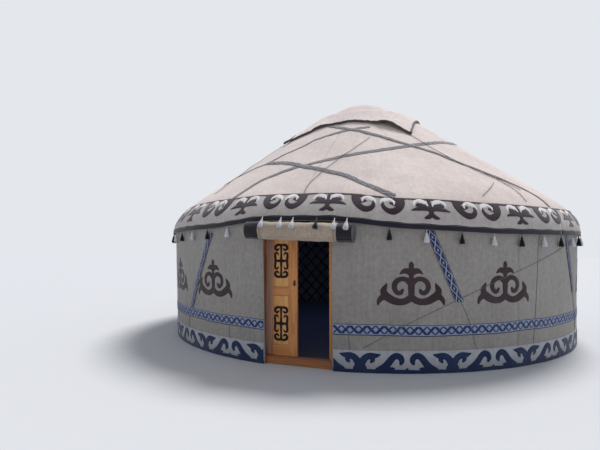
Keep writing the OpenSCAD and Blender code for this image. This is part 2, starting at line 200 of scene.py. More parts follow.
def ring_faces(rings: int, sides: int) -> list:
    """Faces of a body between rings of points, with both ends shut."""
    faces = []
    for k in range(rings - 1):
        for j in range(sides):
            q = (j + 1) % sides
            faces.append((k * sides + j, k * sides + q, (k + 1) * sides + q, (k + 1) * sides + j))
    faces.append(tuple(range(sides - 1, -1, -1)))
    faces.append(tuple((rings - 1) * sides + j for j in range(sides)))
    return faces


def tube(path: Array, radius: float | Array, sides: int = 8) -> tuple[Array, list, Array]:
    """Sweep a round section along a path, with closed ends.

    Args:
        path: The points of the middle line.
        radius: The radius, or one radius for each point.
        sides: Number of sides.

    Returns:
        Points, faces and UV in metres, along and around.
    """
    path = np.asarray(path, float)
    n = len(path)
    radii = np.broadcast_to(np.asarray(radius, float), (n,))
    along = np.gradient(path, axis=0)
    along /= np.linalg.norm(along, axis=1, keepdims=True) + 1e-12
    ref = np.array([0.0, 0.0, 1.0])
    if abs(along[0] @ ref) > 0.9:
        ref = np.array([1.0, 0.0, 0.0])
    side = np.cross(along[0], ref)
    side /= np.linalg.norm(side)
    rings = []
    for k in range(n):
        side = side - along[k] * (side @ along[k])
        side /= np.linalg.norm(side) + 1e-12
        up = np.cross(along[k], side)
        turn = np.linspace(0, 2 * math.pi, sides, endpoint=False)
        rings.append(path[k] + radii[k] * (np.outer(np.cos(turn), side) + np.outer(np.sin(turn), up)))
    points = np.vstack(rings)
    length = np.concatenate([[0], np.cumsum(np.linalg.norm(np.diff(path, axis=0), axis=1))])
    around = np.arange(sides) / sides * 2 * math.pi * float(radii.max())
    uv = np.stack([np.repeat(length, sides), np.tile(around, n)], 1)
    return points, ring_faces(n, sides), uv


def smooth_path(points: Sequence, per_span: int = 8) -> Array:
    """Run a smooth curve through points.

    Args:
        points: The points, in any number of axes.
        per_span: Number of steps between two of them.

    Returns:
        The points of the curve.
    """
    p = np.asarray(points, float)
    ends = np.vstack([2 * p[0] - p[1], p, 2 * p[-1] - p[-2]])
    out = []
    for i in range(1, len(ends) - 2):
        a, b, c, d = ends[i - 1], ends[i], ends[i + 1], ends[i + 2]
        for t in np.arange(per_span) / per_span:
            out.append(0.5 * (2 * b + (c - a) * t + (2 * a - 5 * b + 4 * c - d) * t ** 2
                              + (3 * b - a - 3 * c + d) * t ** 3))
    out.append(p[-1])
    return np.array(out)


class Turned:
    """A profile turned round the yurt's axis, with a smooth unevenness on it."""

    def __init__(self, line: Sequence[tuple[float, float]], wave: Callable[[Array, Array], Array]) -> None:
        """Keep the profile.

        Args:
            line: Radius and height of its points, from below.
            wave: How far the cloth stands off at angles and distances along the profile.
        """
        self.line = np.asarray(line, float)
        steps = np.linalg.norm(np.diff(self.line, axis=0), axis=1)
        self.run = np.concatenate([[0.0], np.cumsum(steps)])
        along = np.gradient(self.line, self.run, axis=0)
        along /= np.linalg.norm(along, axis=1, keepdims=True)
        self.out = np.stack([along[:, 1], -along[:, 0]], 1)
        self.wave = wave

    def run_at_height(self, z: Array | float) -> Array:
        """Distance along the profile at a height."""
        return np.interp(z, self.line[:, 1], self.run)

    def run_at_radius(self, r: Array | float) -> Array:
        """Distance along the profile at a radius, where it narrows upwards."""
        return np.interp(-np.asarray(r, float), -self.line[:, 0], self.run)

    def place(self, a: Array, s: Array, lift: Array | float = 0.0) -> Array:
        """Points over the surface.

        Args:
            a: Angles from the door, in degrees.
            s: Distances along the profile.
            lift: How far they stand off the surface.

        Returns:
            The points, with their axes last.
        """
        a, s = np.broadcast_arrays(np.asarray(a, float), np.asarray(s, float))
        off = np.asarray(lift, float) + self.wave(a, s)
        r = np.interp(s, self.run, self.line[:, 0]) + off * np.interp(s, self.run, self.out[:, 0])
        z = np.interp(s, self.run, self.line[:, 1]) + off * np.interp(s, self.run, self.out[:, 1])
        t = np.radians(a)
        return np.stack([r * np.sin(t), -r * np.cos(t), z], -1)


def ripples(a: Array, s: Array, terms: Sequence[tuple[float, float, float, float]]) -> Array:
    """Add up soft waves that close round the yurt.

    Args:
        a: Angles in degrees.
        s: Distances along the profile.
        terms: For each wave its height, its number round the yurt, its number to a metre
            along the profile, and its start.

    Returns:
        The sum, from about -1 to 1 times the heights' sum.
    """
    total = np.zeros(np.broadcast(a, s).shape)
    for height, round_it, along, start in terms:
        total = total + height * np.sin(np.radians(a) * round_it + s * along * 2 * math.pi + start)
    return total


def wall_wave(a: Array, s: Array) -> Array:
    """Unevenness of the felt where it is tied over the lattice."""
    folds = ripples(a, s, [(0.0011, 74, 0.15, 0.4), (0.0009, 131, -0.3, 1.9), (0.0013, 31, 0.6, 2.2),
                           (0.0010, 17, -1.1, 0.3)])
    return 0.0045 + folds


def roof_wave(a: Array, s: Array) -> Array:
    """Unevenness of the roof felt: faint ridges on the poles and sags between the straps."""
    ridges = 0.0016 * np.cos(np.radians(a - 11.4) * 75.8)
    sags = ripples(a, s, [(0.0024, 13, 0.9, 0.7), (0.0020, 22, -1.4, 2.5), (0.0016, 9, 2.1, 1.1),
                          (0.0012, 47, 0.5, 3.0)])
    return (0.009 + ridges + sags) * np.clip((s - 0.15) / 0.6, 0.3, 1.0)


def wall_line() -> list[tuple[float, float]]:
    """Profile of the wall felt's outer side, from the ground up."""
    return [(WALL_R + WALL_LEAN * z, z) for z in np.linspace(0, WALL_TOP, 12)]


def roof_line() -> list[tuple[float, float]]:
    """Profile of the roof felt's outer side: upright, round the shoulder, then straight."""
    low, bend = np.array([SHOULDER_R, SHOULDER_FOOT]), np.array([SHOULDER_R, SHOULDER_BEND])
    high = np.array([SLOPE_R, SLOPE_Z])
    points = [(SHOULDER_R, z) for z in np.linspace(1.5, 1.70, 5)]
    for t in np.linspace(0, 1, 25):
        p = (1 - t) ** 2 * low + 2 * t * (1 - t) * bend + t * t * high
        points.append((float(p[0]), float(p[1])))
    for t in np.linspace(0, 1, 30)[1:]:
        points.append((SLOPE_R + (CROWN_R - SLOPE_R) * t, SLOPE_Z + (CROWN_Z - SLOPE_Z) * t))
    return points


def felt_sheet(name: str, outer: Array, thick: float, finish: Finish, uv: Array) -> Thing:
    """Give a grid of points a felt's thickness, with soft rounded edges.

    Args:
        name: The piece's name.
        outer: Rows and columns of points of the side that is seen.
        thick: Thickness of the felt.
        finish: Its material.
        uv: Where the points lie on the cloth, in metres.

    Returns:
        The sheet, closed all round.
    """
    rows, columns = outer.shape[:2]
    du = np.gradient(outer, axis=1)
    dv = np.gradient(outer, axis=0)
    out = np.cross(du, dv)
    out /= np.linalg.norm(out, axis=2, keepdims=True) + 1e-12
    inner = outer - out * thick
    rim_ids = ([(0, j) for j in range(columns)] + [(i, columns - 1) for i in range(1, rows)]
               + [(rows - 1, j) for j in range(columns - 2, -1, -1)]
               + [(i, 0) for i in range(rows - 2, 0, -1)])
    count = rows * columns
    middle = []
    for i, j in rim_ids:
        ni = min(max(i, 1), rows - 2)
        nj = min(max(j, 1), columns - 2)
        away = outer[i, j] - outer[ni, nj]
        away = away / (np.linalg.norm(away) + 1e-12)
        middle.append((outer[i, j] + inner[i, j]) / 2 + away * thick * 0.35)
    points = np.vstack([outer.reshape(-1, 3), inner.reshape(-1, 3), np.array(middle)])
    flat = uv.reshape(-1, 2)
    rim_uv = np.array([uv[i, j] for i, j in rim_ids])
    faces = grid_faces(rows, columns) + grid_faces(rows, columns, count, turned=True)
    total = len(rim_ids)
    for k in range(total):
        q = (k + 1) % total
        a, b = (i * columns + j for i, j in (rim_ids[k], rim_ids[q]))
        faces.append((b, a, 2 * count + k, 2 * count + q))
        faces.append((2 * count + q, 2 * count + k, count + a, count + b))
    return mesh_object(name, points, faces, finish, np.vstack([flat, flat, rim_uv]))


def wrapped_sheet(name: str, turned: Turned, angles: Array, runs: Array, lift: float, thick: float,
                  finish: Finish) -> tuple[Thing, float]:
    """Lay a felt round a turned profile.

    Args:
        name: The piece's name.
        turned: The surface that it lies on.
        angles: Angles of its columns.
        runs: For each row and column, the distance along the profile.
        lift: How far its seen side stands off.
        thick: Its thickness.
        finish: Its material.

    Returns:
        The sheet, and the area of its seen side.
    """
    a = np.broadcast_to(angles, runs.shape)
    outer = turned.place(a, runs, lift)
    around = np.radians(a) * CLOTH_R
    obj = felt_sheet(name, outer, thick, finish, np.stack([around, runs], -1))
    corner = outer[:-1, :-1]
    cross = np.cross(outer[1:, :-1] - corner, outer[:-1, 1:] - corner)
    area = float(np.linalg.norm(cross, axis=2).sum())
    return obj, area


def shader(name: str) -> tuple[Finish, Tree, bpy.types.Node]:
    """Start a material.

    Args:
        name: What it is made of.

    Returns:
        The material, its node tree and its Principled shader.
    """
    material = bpy.data.materials.new(name)
    material.use_nodes = True
    tree = material.node_tree
    return material, tree, tree.nodes["Principled BSDF"]


def scaled(tree: Tree, source: Socket, scale: Point) -> Socket:
    """Scale coordinates, so that a pattern is drawn at its real size."""
    return add_node(tree, "ShaderNodeMapping", {"Vector": source, "Scale": scale}).outputs["Vector"]


def noise(tree: Tree, where: Socket, size: float, detail: float = 3.0, rough: float = 0.55) -> Socket:
    """Noise whose grains are about a size in metres across."""
    node = add_node(tree, "ShaderNodeTexNoise",
                    {"Vector": where, "Scale": 1 / size, "Detail": detail, "Roughness": rough})
    return node.outputs["Fac"]


def band(tree: Tree, value: Socket, low: float, high: float,
         out_low: float = 0.0, out_high: float = 1.0) -> Socket:
    """Stretch a range of values onto another, and stop at its ends."""
    node = add_node(tree, "ShaderNodeMapRange", {"Value": value, "From Min": low, "From Max": high,
                                                 "To Min": out_low, "To Max": out_high})
    return node.outputs["Result"]


def mixed(tree: Tree, share: Socket | float, a, b, blend: str = "MIX") -> Socket:
    """Mix two colours by a share."""
    node = tree.nodes.new("ShaderNodeMix")
    node.data_type = "RGBA"
    node.blend_type = blend
    for key, value in ((0, share), (6, a), (7, b)):
        if isinstance(value, Socket):
            tree.links.new(value, node.inputs[key])
        else:
            node.inputs[key].default_value = value
    return node.outputs[2]


def sums(tree: Tree, kind: str, a, b=0.0) -> Socket:
    """One step of arithmetic on values."""
    return add_node(tree, "ShaderNodeMath", {0: a, 1: b}, operation=kind).outputs[0]


def bumped(tree: Tree, bsdf: bpy.types.Node, heights: Sequence[tuple]) -> None:
    """Raise the surface by several patterns, one on the other.

    Args:
        tree: The material's node tree.
        bsdf: Its shader.
        heights: Pairs of a pattern and how far it rises, in metres.
    """
    normal = None
    for pattern, depth in heights:
        inputs = {"Height": pattern, "Distance": depth, "Strength": 1.0}
        if normal is not None:
            inputs["Normal"] = normal
        normal = add_node(tree, "ShaderNodeBump", inputs).outputs["Normal"]
    tree.links.new(normal, bsdf.inputs["Normal"])


@dataclass(frozen=True)
class WoolFelt:
    """Rolled wool felt faced with plain cotton: matt, slightly mottled, with faint threads and stains."""

    name: str
    colour: str
    stain: str
    stained: float = 0.35
    thread_mm: float = 9.0
    low_dirt: bool = False

    def build(self) -> Finish:
        """Make the material: the eye sees a dull cream cloth with soft grey patches and upright threads."""
        material, tree, bsdf = shader(self.name)
        place = add_node(tree, "ShaderNodeTexCoord").outputs["Object"]
        uv = add_node(tree, "ShaderNodeTexCoord").outputs["UV"]
        patches = band(tree, noise(tree, place, 0.9, 5.0, 0.6), 0.42, 0.68)
        streaks = noise(tree, scaled(tree, uv, (1 / 0.018, 1 / 0.5, 1)), 1.0, 3.0)
        small = noise(tree, place, 0.05, 4.0)
        colour = mixed(tree, sums(tree, "MULTIPLY", patches, self.stained), linear(self.colour),
                       linear(self.stain))
        colour = mixed(tree, band(tree, streaks, 0.3, 0.75, 0.0, 0.42), colour, linear(self.stain))
        colour = mixed(tree, band(tree, small, 0.35, 0.7, 0.0, 0.25), colour, linear(self.stain), "MULTIPLY")
        if self.low_dirt:
            height = add_node(tree, "ShaderNodeSeparateXYZ", {"Vector": place}).outputs["Z"]
            splash = sums(tree, "ADD", height, sums(tree, "MULTIPLY", small, 0.25))
            colour = mixed(tree, band(tree, splash, 0.30, 0.10, 0.0, 0.45), colour, linear("6f675f"))
        tree.links.new(colour, bsdf.inputs["Base Color"])
        # Threads are about 1 mm apart, drawn coarser so that they show
        thread = self.thread_mm / 1000
        warp = add_node(tree, "ShaderNodeTexWave", {"Vector": uv, "Scale": 1 / thread / 2, "Distortion": 2.0,
                                                    "Detail": 2.0}, bands_direction="X").outputs["Fac"]
        weft = add_node(tree, "ShaderNodeTexWave", {"Vector": uv, "Scale": 1 / thread / 2, "Distortion": 2.0,
                                                    "Detail": 2.0}, bands_direction="Y").outputs["Fac"]
        fibre = noise(tree, place, 0.012, 4.0)
        bumped(tree, bsdf, [(noise(tree, place, 0.6, 2.0), 0.016), (noise(tree, place, 0.25, 3.0), 0.007),
                            (warp, 0.0005), (weft, 0.0004), (fibre, 0.0012)])
        bsdf.inputs["Roughness"].default_value = 0.95
        bsdf.inputs["Specular IOR Level"].default_value = 0.15
        bsdf.inputs["Sheen Weight"].default_value = 0.25
        bsdf.inputs["Sheen Roughness"].default_value = 0.6
        return material


@dataclass(frozen=True)
class AppliqueFelt:
    """Thin felt cut to a shape and sewn on: dark, matt, lint on its face."""

    name: str
    colour: str
    worn: str

    def build(self) -> Finish:
        """Make the material: the eye sees dark wool with paler lint and a faded look where it stands up."""
        material, tree, bsdf = shader(self.name)
        place = add_node(tree, "ShaderNodeTexCoord").outputs["Object"]
        lint = band(tree, noise(tree, place, 0.006, 3.0), 0.5, 0.75, 0.0, 0.5)
        faded = band(tree, noise(tree, place, 0.35, 4.0), 0.4, 0.7, 0.0, 0.6)
        colour = mixed(tree, faded, linear(self.colour), linear(self.worn))
        colour = mixed(tree, lint, colour, linear(self.worn))
        tree.links.new(colour, bsdf.inputs["Base Color"])
        bumped(tree, bsdf, [(noise(tree, place, 0.03, 3.0), 0.0012),
                            (noise(tree, place, 0.005, 3.0), 0.0008)])
        bsdf.inputs["Roughness"].default_value = 0.95
        bsdf.inputs["Specular IOR Level"].default_value = 0.1
        bsdf.inputs["Sheen Weight"].default_value = 0.3
        return material


@dataclass(frozen=True)
class WovenBand:
    """Pattern-woven wool webbing: diamonds with hooked centres between dark edges, drawn by its UV."""

    name: str
    width: float
    repeat: float
    dark: str = "2b3a66"
    light: str = "b9bdc9"
    edge: float = 0.10
    zigzag: bool = False
    rim: str = "23252f"

    def build(self) -> Finish:
        """Make the material: the eye sees navy and white figures of thick weft, stepped like weaving."""
        material, tree, bsdf = shader(self.name)
        uv = add_node(tree, "ShaderNodeTexCoord").outputs["UV"]
        split = add_node(tree, "ShaderNodeSeparateXYZ", {"Vector": uv})
        # Weft rows about 5 mm apart make the figures stepped
        step = self.width / 26
        threads = [sums(tree, "FLOOR", sums(tree, "DIVIDE", split.outputs[axis], step)) for axis in "XY"]
        along, across = (sums(tree, "MULTIPLY", number, step) for number in threads)
        v = sums(tree, "DIVIDE", across, self.width / 2)
        side = sums(tree, "ABSOLUTE", v)
        phase = sums(tree, "FRACT", sums(tree, "DIVIDE", along, self.repeat))
        centre = sums(tree, "ABSOLUTE", sums(tree, "SUBTRACT", sums(tree, "MULTIPLY", phase, 2.0), 1.0))
        if self.zigzag:
            half = sums(tree, "DIVIDE", v, 2 * (1 - self.edge))
            figure = 0.0
            for kind, width in (("ADD", 0.24), ("SUBTRACT", 0.12)):
                line = sums(tree, kind, 0.5, half)
                away = sums(tree, "ABSOLUTE", sums(tree, "SUBTRACT", centre, line))
                figure = sums(tree, "MAXIMUM", figure, sums(tree, "LESS_THAN", away, width))
        else:
            reach = sums(tree, "ADD", centre, sums(tree, "DIVIDE", side, 1 - self.edge))
            ring = sums(tree, "ABSOLUTE", sums(tree, "SUBTRACT", reach, 0.98))
            figure = sums(tree, "GREATER_THAN", ring, 0.14)
            figure = sums(tree, "MULTIPLY", figure, sums(tree, "GREATER_THAN", reach, 0.26))
        # A pale line runs between the figures and the dark hem
        figure = sums(tree, "MULTIPLY", figure, sums(tree, "LESS_THAN", side, 1 - self.edge))
        hem = sums(tree, "GREATER_THAN", side, 1 - self.edge / 2)
        worn = noise(tree, uv, 0.25, 4.0)
        light = mixed(tree, band(tree, worn, 0.35, 0.7, 0.0, 0.45), linear(self.light), linear("8f8f98"))
        colour = mixed(tree, figure, light, linear(self.dark))
        colour = mixed(tree, hem, colour, linear(self.rim))
        tree.links.new(colour, bsdf.inputs["Base Color"])
        ribs = add_node(tree, "ShaderNodeTexWave", {"Vector": uv, "Scale": 1 / step / 2, "Distortion": 0.6},
                        bands_direction="X").outputs["Fac"]
        bumped(tree, bsdf, [(figure, 0.0008), (ribs, 0.0008), (noise(tree, uv, 0.01, 3.0), 0.0008)])
        bsdf.inputs["Roughness"].default_value = 0.9
        bsdf.inputs["Specular IOR Level"].default_value = 0.2
        bsdf.inputs["Sheen Weight"].default_value = 0.2
        return material


@dataclass(frozen=True)
class Timber:
    """Planed wood with long grain and growth rings, oiled or weathered."""

    name: str
    colour: str
    dark: str
    ring_mm: float = 11.0
    worn: str = "5a4a42"
    wear: float = 0.15
    roughness: float = 0.5
    by_grain: bool = True
    axis: Point = (1.0, 1.0, 0.07)

    def build(self) -> Finish:
        """Make the material: the eye sees grain lines along the board, dark pores and rubbed places."""
        material, tree, bsdf = shader(self.name)
        if self.by_grain:
            place = add_node(tree, "ShaderNodeAttribute", attribute_name="grain").outputs["Vector"]
        else:
            place = add_node(tree, "ShaderNodeTexCoord").outputs["Object"]
        stretched = scaled(tree, place, self.axis)
        bent = noise(tree, stretched, 0.12, 3.0)
        turns = 0.12 * 2 * math.pi / (self.ring_mm / 1000) * 0.5
        rings = sums(tree, "SINE", sums(tree, "MULTIPLY", bent, turns))
        pores = noise(tree, scaled(tree, stretched, (1, 1, 0.4)), 0.003, 2.0)
        broad = noise(tree, stretched, 0.3, 3.0)
        colour = mixed(tree, band(tree, rings, -0.2, 1.0, 0.0, 0.5), linear(self.colour), linear(self.dark))
        colour = mixed(tree, band(tree, pores, 0.55, 0.8, 0.0, 0.35), colour, linear(self.dark))
        colour = mixed(tree, band(tree, broad, 0.45, 0.75, 0.0, self.wear), colour, linear(self.worn))
        tree.links.new(colour, bsdf.inputs["Base Color"])
        rough = band(tree, broad, 0.3, 0.7, self.roughness - 0.08, self.roughness + 0.15)
        tree.links.new(rough, bsdf.inputs["Roughness"])
        bumped(tree, bsdf, [(rings, 0.0004), (pores, 0.0005)])
        bsdf.inputs["IOR"].default_value = 1.5
        bsdf.inputs["Specular IOR Level"].default_value = 0.35
        return material


@dataclass(frozen=True)
class WoolYarn:
    """Spun wool, as a laid rope or as the loose strands of a tassel."""

    name: str
    colour: str
    second: str
    lay_mm: float = 12.0
    loose: bool = False

    def build(self) -> Finish:
        """Make the material: the eye sees slanting plies on a rope, or fine fluffy strands that hang."""
        material, tree, bsdf = shader(self.name)
        place = add_node(tree, "ShaderNodeTexCoord").outputs["Object"]
        uv = add_node(tree, "ShaderNodeTexCoord").outputs["UV"]
        if self.loose:
            strands = noise(tree, scaled(tree, place, (1, 1, 0.12)), 0.004, 3.0)
            share = band(tree, strands, 0.35, 0.7, 0.0, 0.8)
        else:
            ply = add_node(tree, "ShaderNodeTexWave", {"Vector": uv, "Scale": 500 / self.lay_mm,
                                                       "Distortion": 0.4}, bands_direction="DIAGONAL")
            strands = ply.outputs["Fac"]
            share = band(tree, strands, 0.0, 1.0, 0.0, 0.85)
        colour = mixed(tree, share, linear(self.colour), linear(self.second))
        tree.links.new(colour, bsdf.inputs["Base Color"])
        deep = 0.002 if self.loose else 0.0012
        bumped(tree, bsdf, [(strands, deep), (noise(tree, place, 0.003, 2.0), 0.0006)])
        bsdf.inputs["Roughness"].default_value = 0.95
        bsdf.inputs["Specular IOR Level"].default_value = 0.1
        bsdf.inputs["Sheen Weight"].default_value = 0.35
        return material


@dataclass(frozen=True)
class ForgedIron:
    """Hand-forged iron: black scale with rust in its hollows."""

    name: str

    def build(self) -> Finish:
        """Make the material: the eye sees dull dark metal, lighter on its edges, brown where it rusts."""
        material, tree, bsdf = shader(self.name)
        place = add_node(tree, "ShaderNodeTexCoord").outputs["Object"]
        rust = band(tree, noise(tree, place, 0.012, 4.0), 0.45, 0.7)
        tree.links.new(mixed(tree, rust, linear("3a3836"), linear("5d3a28")), bsdf.inputs["Base Color"])
        tree.links.new(band(tree, rust, 0.0, 1.0, 0.8, 0.1), bsdf.inputs["Metallic"])
        tree.links.new(band(tree, rust, 0.0, 1.0, 0.45, 0.9), bsdf.inputs["Roughness"])
        bumped(tree, bsdf, [(noise(tree, place, 0.004, 3.0), 0.0005)])
        return material


@dataclass(frozen=True)
class Studio:
    """Plain matt paper of the floor."""

    name: str
    colour: str

    def build(self) -> Finish:
        """Make the material, pale and even."""
        material, _, bsdf = shader(self.name)
        bsdf.inputs["Base Color"].default_value = linear(self.colour)
        bsdf.inputs["Roughness"].default_value = 0.9
        bsdf.inputs["Specular IOR Level"].default_value = 0.1
        return material


@dataclass(frozen=True)
class Motif:
    """A traditional horn ornament, drawn as strokes of changing width in metres.

    The strokes of the right half are mirrored, and cut off level at low and high and upright at first
    and last.
    """

    strokes: tuple[tuple[tuple[float, float, float], ...], ...]
    cell: float = 0.009
    low: float = -1.0
    high: float = 1.0
    first: float = -9.0
    last: float = 9.0

    def depth(self, x: Array, y: Array) -> Array:
        """How far inside the ornament points are, in metres."""
        best = np.full(x.shape, -1.0)
        for stroke in self.strokes:
            line = smooth_path(stroke, 5) if len(stroke) > 2 else np.array(stroke, float)
            for sign in (1, -1):
                for p, q in zip(line[:-1], line[1:]):
                    ax, bx = sign * p[0], sign * q[0]
                    dx, dy = bx - ax, q[1] - p[1]
                    t = np.clip(((x - ax) * dx + (y - p[1]) * dy) / (dx * dx + dy * dy + 1e-12), 0, 1)
                    away = np.hypot(x - ax - t * dx, y - p[1] - t * dy)
                    best = np.maximum(best, p[2] + (q[2] - p[2]) * t - away)
        best = np.minimum(best, np.minimum(self.last - x, x - self.first))
        return np.minimum(best, np.minimum(self.high - y, y - self.low))

    def cut(self) -> tuple[Array, list, list]:
        """Cut the ornament out of a grid of small cells.

        Returns:
            Its points, its faces, and the pairs of points along its outline.
        """
        pts = np.array([p for s in self.strokes for p in s])
        pad = pts[:, 2].max() + 2 * self.cell
        reach = pts[:, 0].max() + pad
        xs = np.arange(-reach, reach, self.cell)
        ys = np.arange(pts[:, 1].min() - pad, pts[:, 1].max() + pad, self.cell)
        gx, gy = np.meshgrid(xs, ys)
        inside = self.depth(gx, gy) + 1e-6
        points: list[tuple[float, float]] = []
        known: dict[tuple, int] = {}

        def corner(i: int, j: int) -> int:
            """Number of a grid point."""
            key = (i, j)
            if key not in known:
                known[key] = len(points)
                points.append((float(xs[j]), float(ys[i])))
            return known[key]

        def crossing(i: int, j: int, k: int, m: int) -> int:
            """Number of the point where the outline crosses a cell's side."""
            key = (i, j, k, m) if (i, j) < (k, m) else (k, m, i, j)
            if key not in known:
                f, g = inside[i, j], inside[k, m]
                t = min(max(f / (f - g), 0.08), 0.92)
                known[key] = len(points)
                points.append((float(xs[j] + (xs[m] - xs[j]) * t), float(ys[i] + (ys[k] - ys[i]) * t)))
            return known[key]

        faces, outline = [], []
        touched = np.argwhere((inside[:-1, :-1] > 0) | (inside[1:, :-1] > 0)
                              | (inside[:-1, 1:] > 0) | (inside[1:, 1:] > 0))
        for i, j in touched.tolist():
            ring = [(i, j), (i, j + 1), (i + 1, j + 1), (i + 1, j)]
            face, marks = [], []
            for k in range(4):
                p, q = ring[k], ring[(k + 1) % 4]
                if inside[p] > 0:
                    face.append(corner(*p))
                    marks.append(False)
                if (inside[p] > 0) != (inside[q] > 0):
                    face.append(crossing(*p, *q))
                    marks.append(inside[p] > 0)
            if len(face) < 3:
                continue
            faces.append(tuple(face))
            for k, leaving in enumerate(marks):
                if leaving:
                    outline.append((face[k], face[(k + 1) % len(face)]))
        return np.array(points), faces, outline


def lay_motif(motif: Motif, place: Callable[[Array, Array, Array], Array],
              thick: float) -> tuple[Array, list]:
    """Lay a cut ornament on a surface, with its own thickness.

    Args:
        motif: The ornament.
        place: Gives points from places across and upwards and a lift.
        thick: The ornament's thickness.

    Returns:
        Points and faces: a face that is soft at its outline, and a side wall.
    """
    flat, faces, outline = motif.cut()
    rim = sorted({i for pair in outline for i in pair})
    number = {p: k for k, p in enumerate(rim)}
    lift = np.full(len(flat), thick)
    lift[rim] = thick * 0.55
    top = place(flat[:, 0], flat[:, 1], lift)
    foot = place(flat[rim, 0], flat[rim, 1], np.full(len(rim), -0.001))
    start = len(flat)
    walls = [(a, start + number[a], start + number[b], b) for a, b in outline]
    return np.vstack([top, foot]), list(faces) + walls


EAVE = ((-180, 1.69), (-92, 1.66), (-60, 1.6977), (-32, 1.7296), (-20, 1.7395), (-8, 1.8143), (8, 1.7945),
        (20, 1.6999), (32, 1.665), (40, 1.642), (56, 1.64), (92, 1.66), (180, 1.69))
FRIEZE_TALL = ((-180, 0.34), (-100, 0.345), (-60, 0.387), (-24, 0.41), (-6, 0.34), (6, 0.343), (30, 0.36),
               (60, 0.35), (180, 0.34))


def along(table: Sequence[tuple[float, float]], a: Array | float) -> Array:
    """Read a value round the yurt from a table of angles, softly rounded at its corners."""
    angle = (np.asarray(a, float) + 180) % 360 - 180
    xs = [p[0] for p in table]
    ys = [p[1] for p in table]
    spread = (-2.0, 0.0, 2.0)
    return sum(np.interp(angle + d, xs, ys) for d in spread) / len(spread)


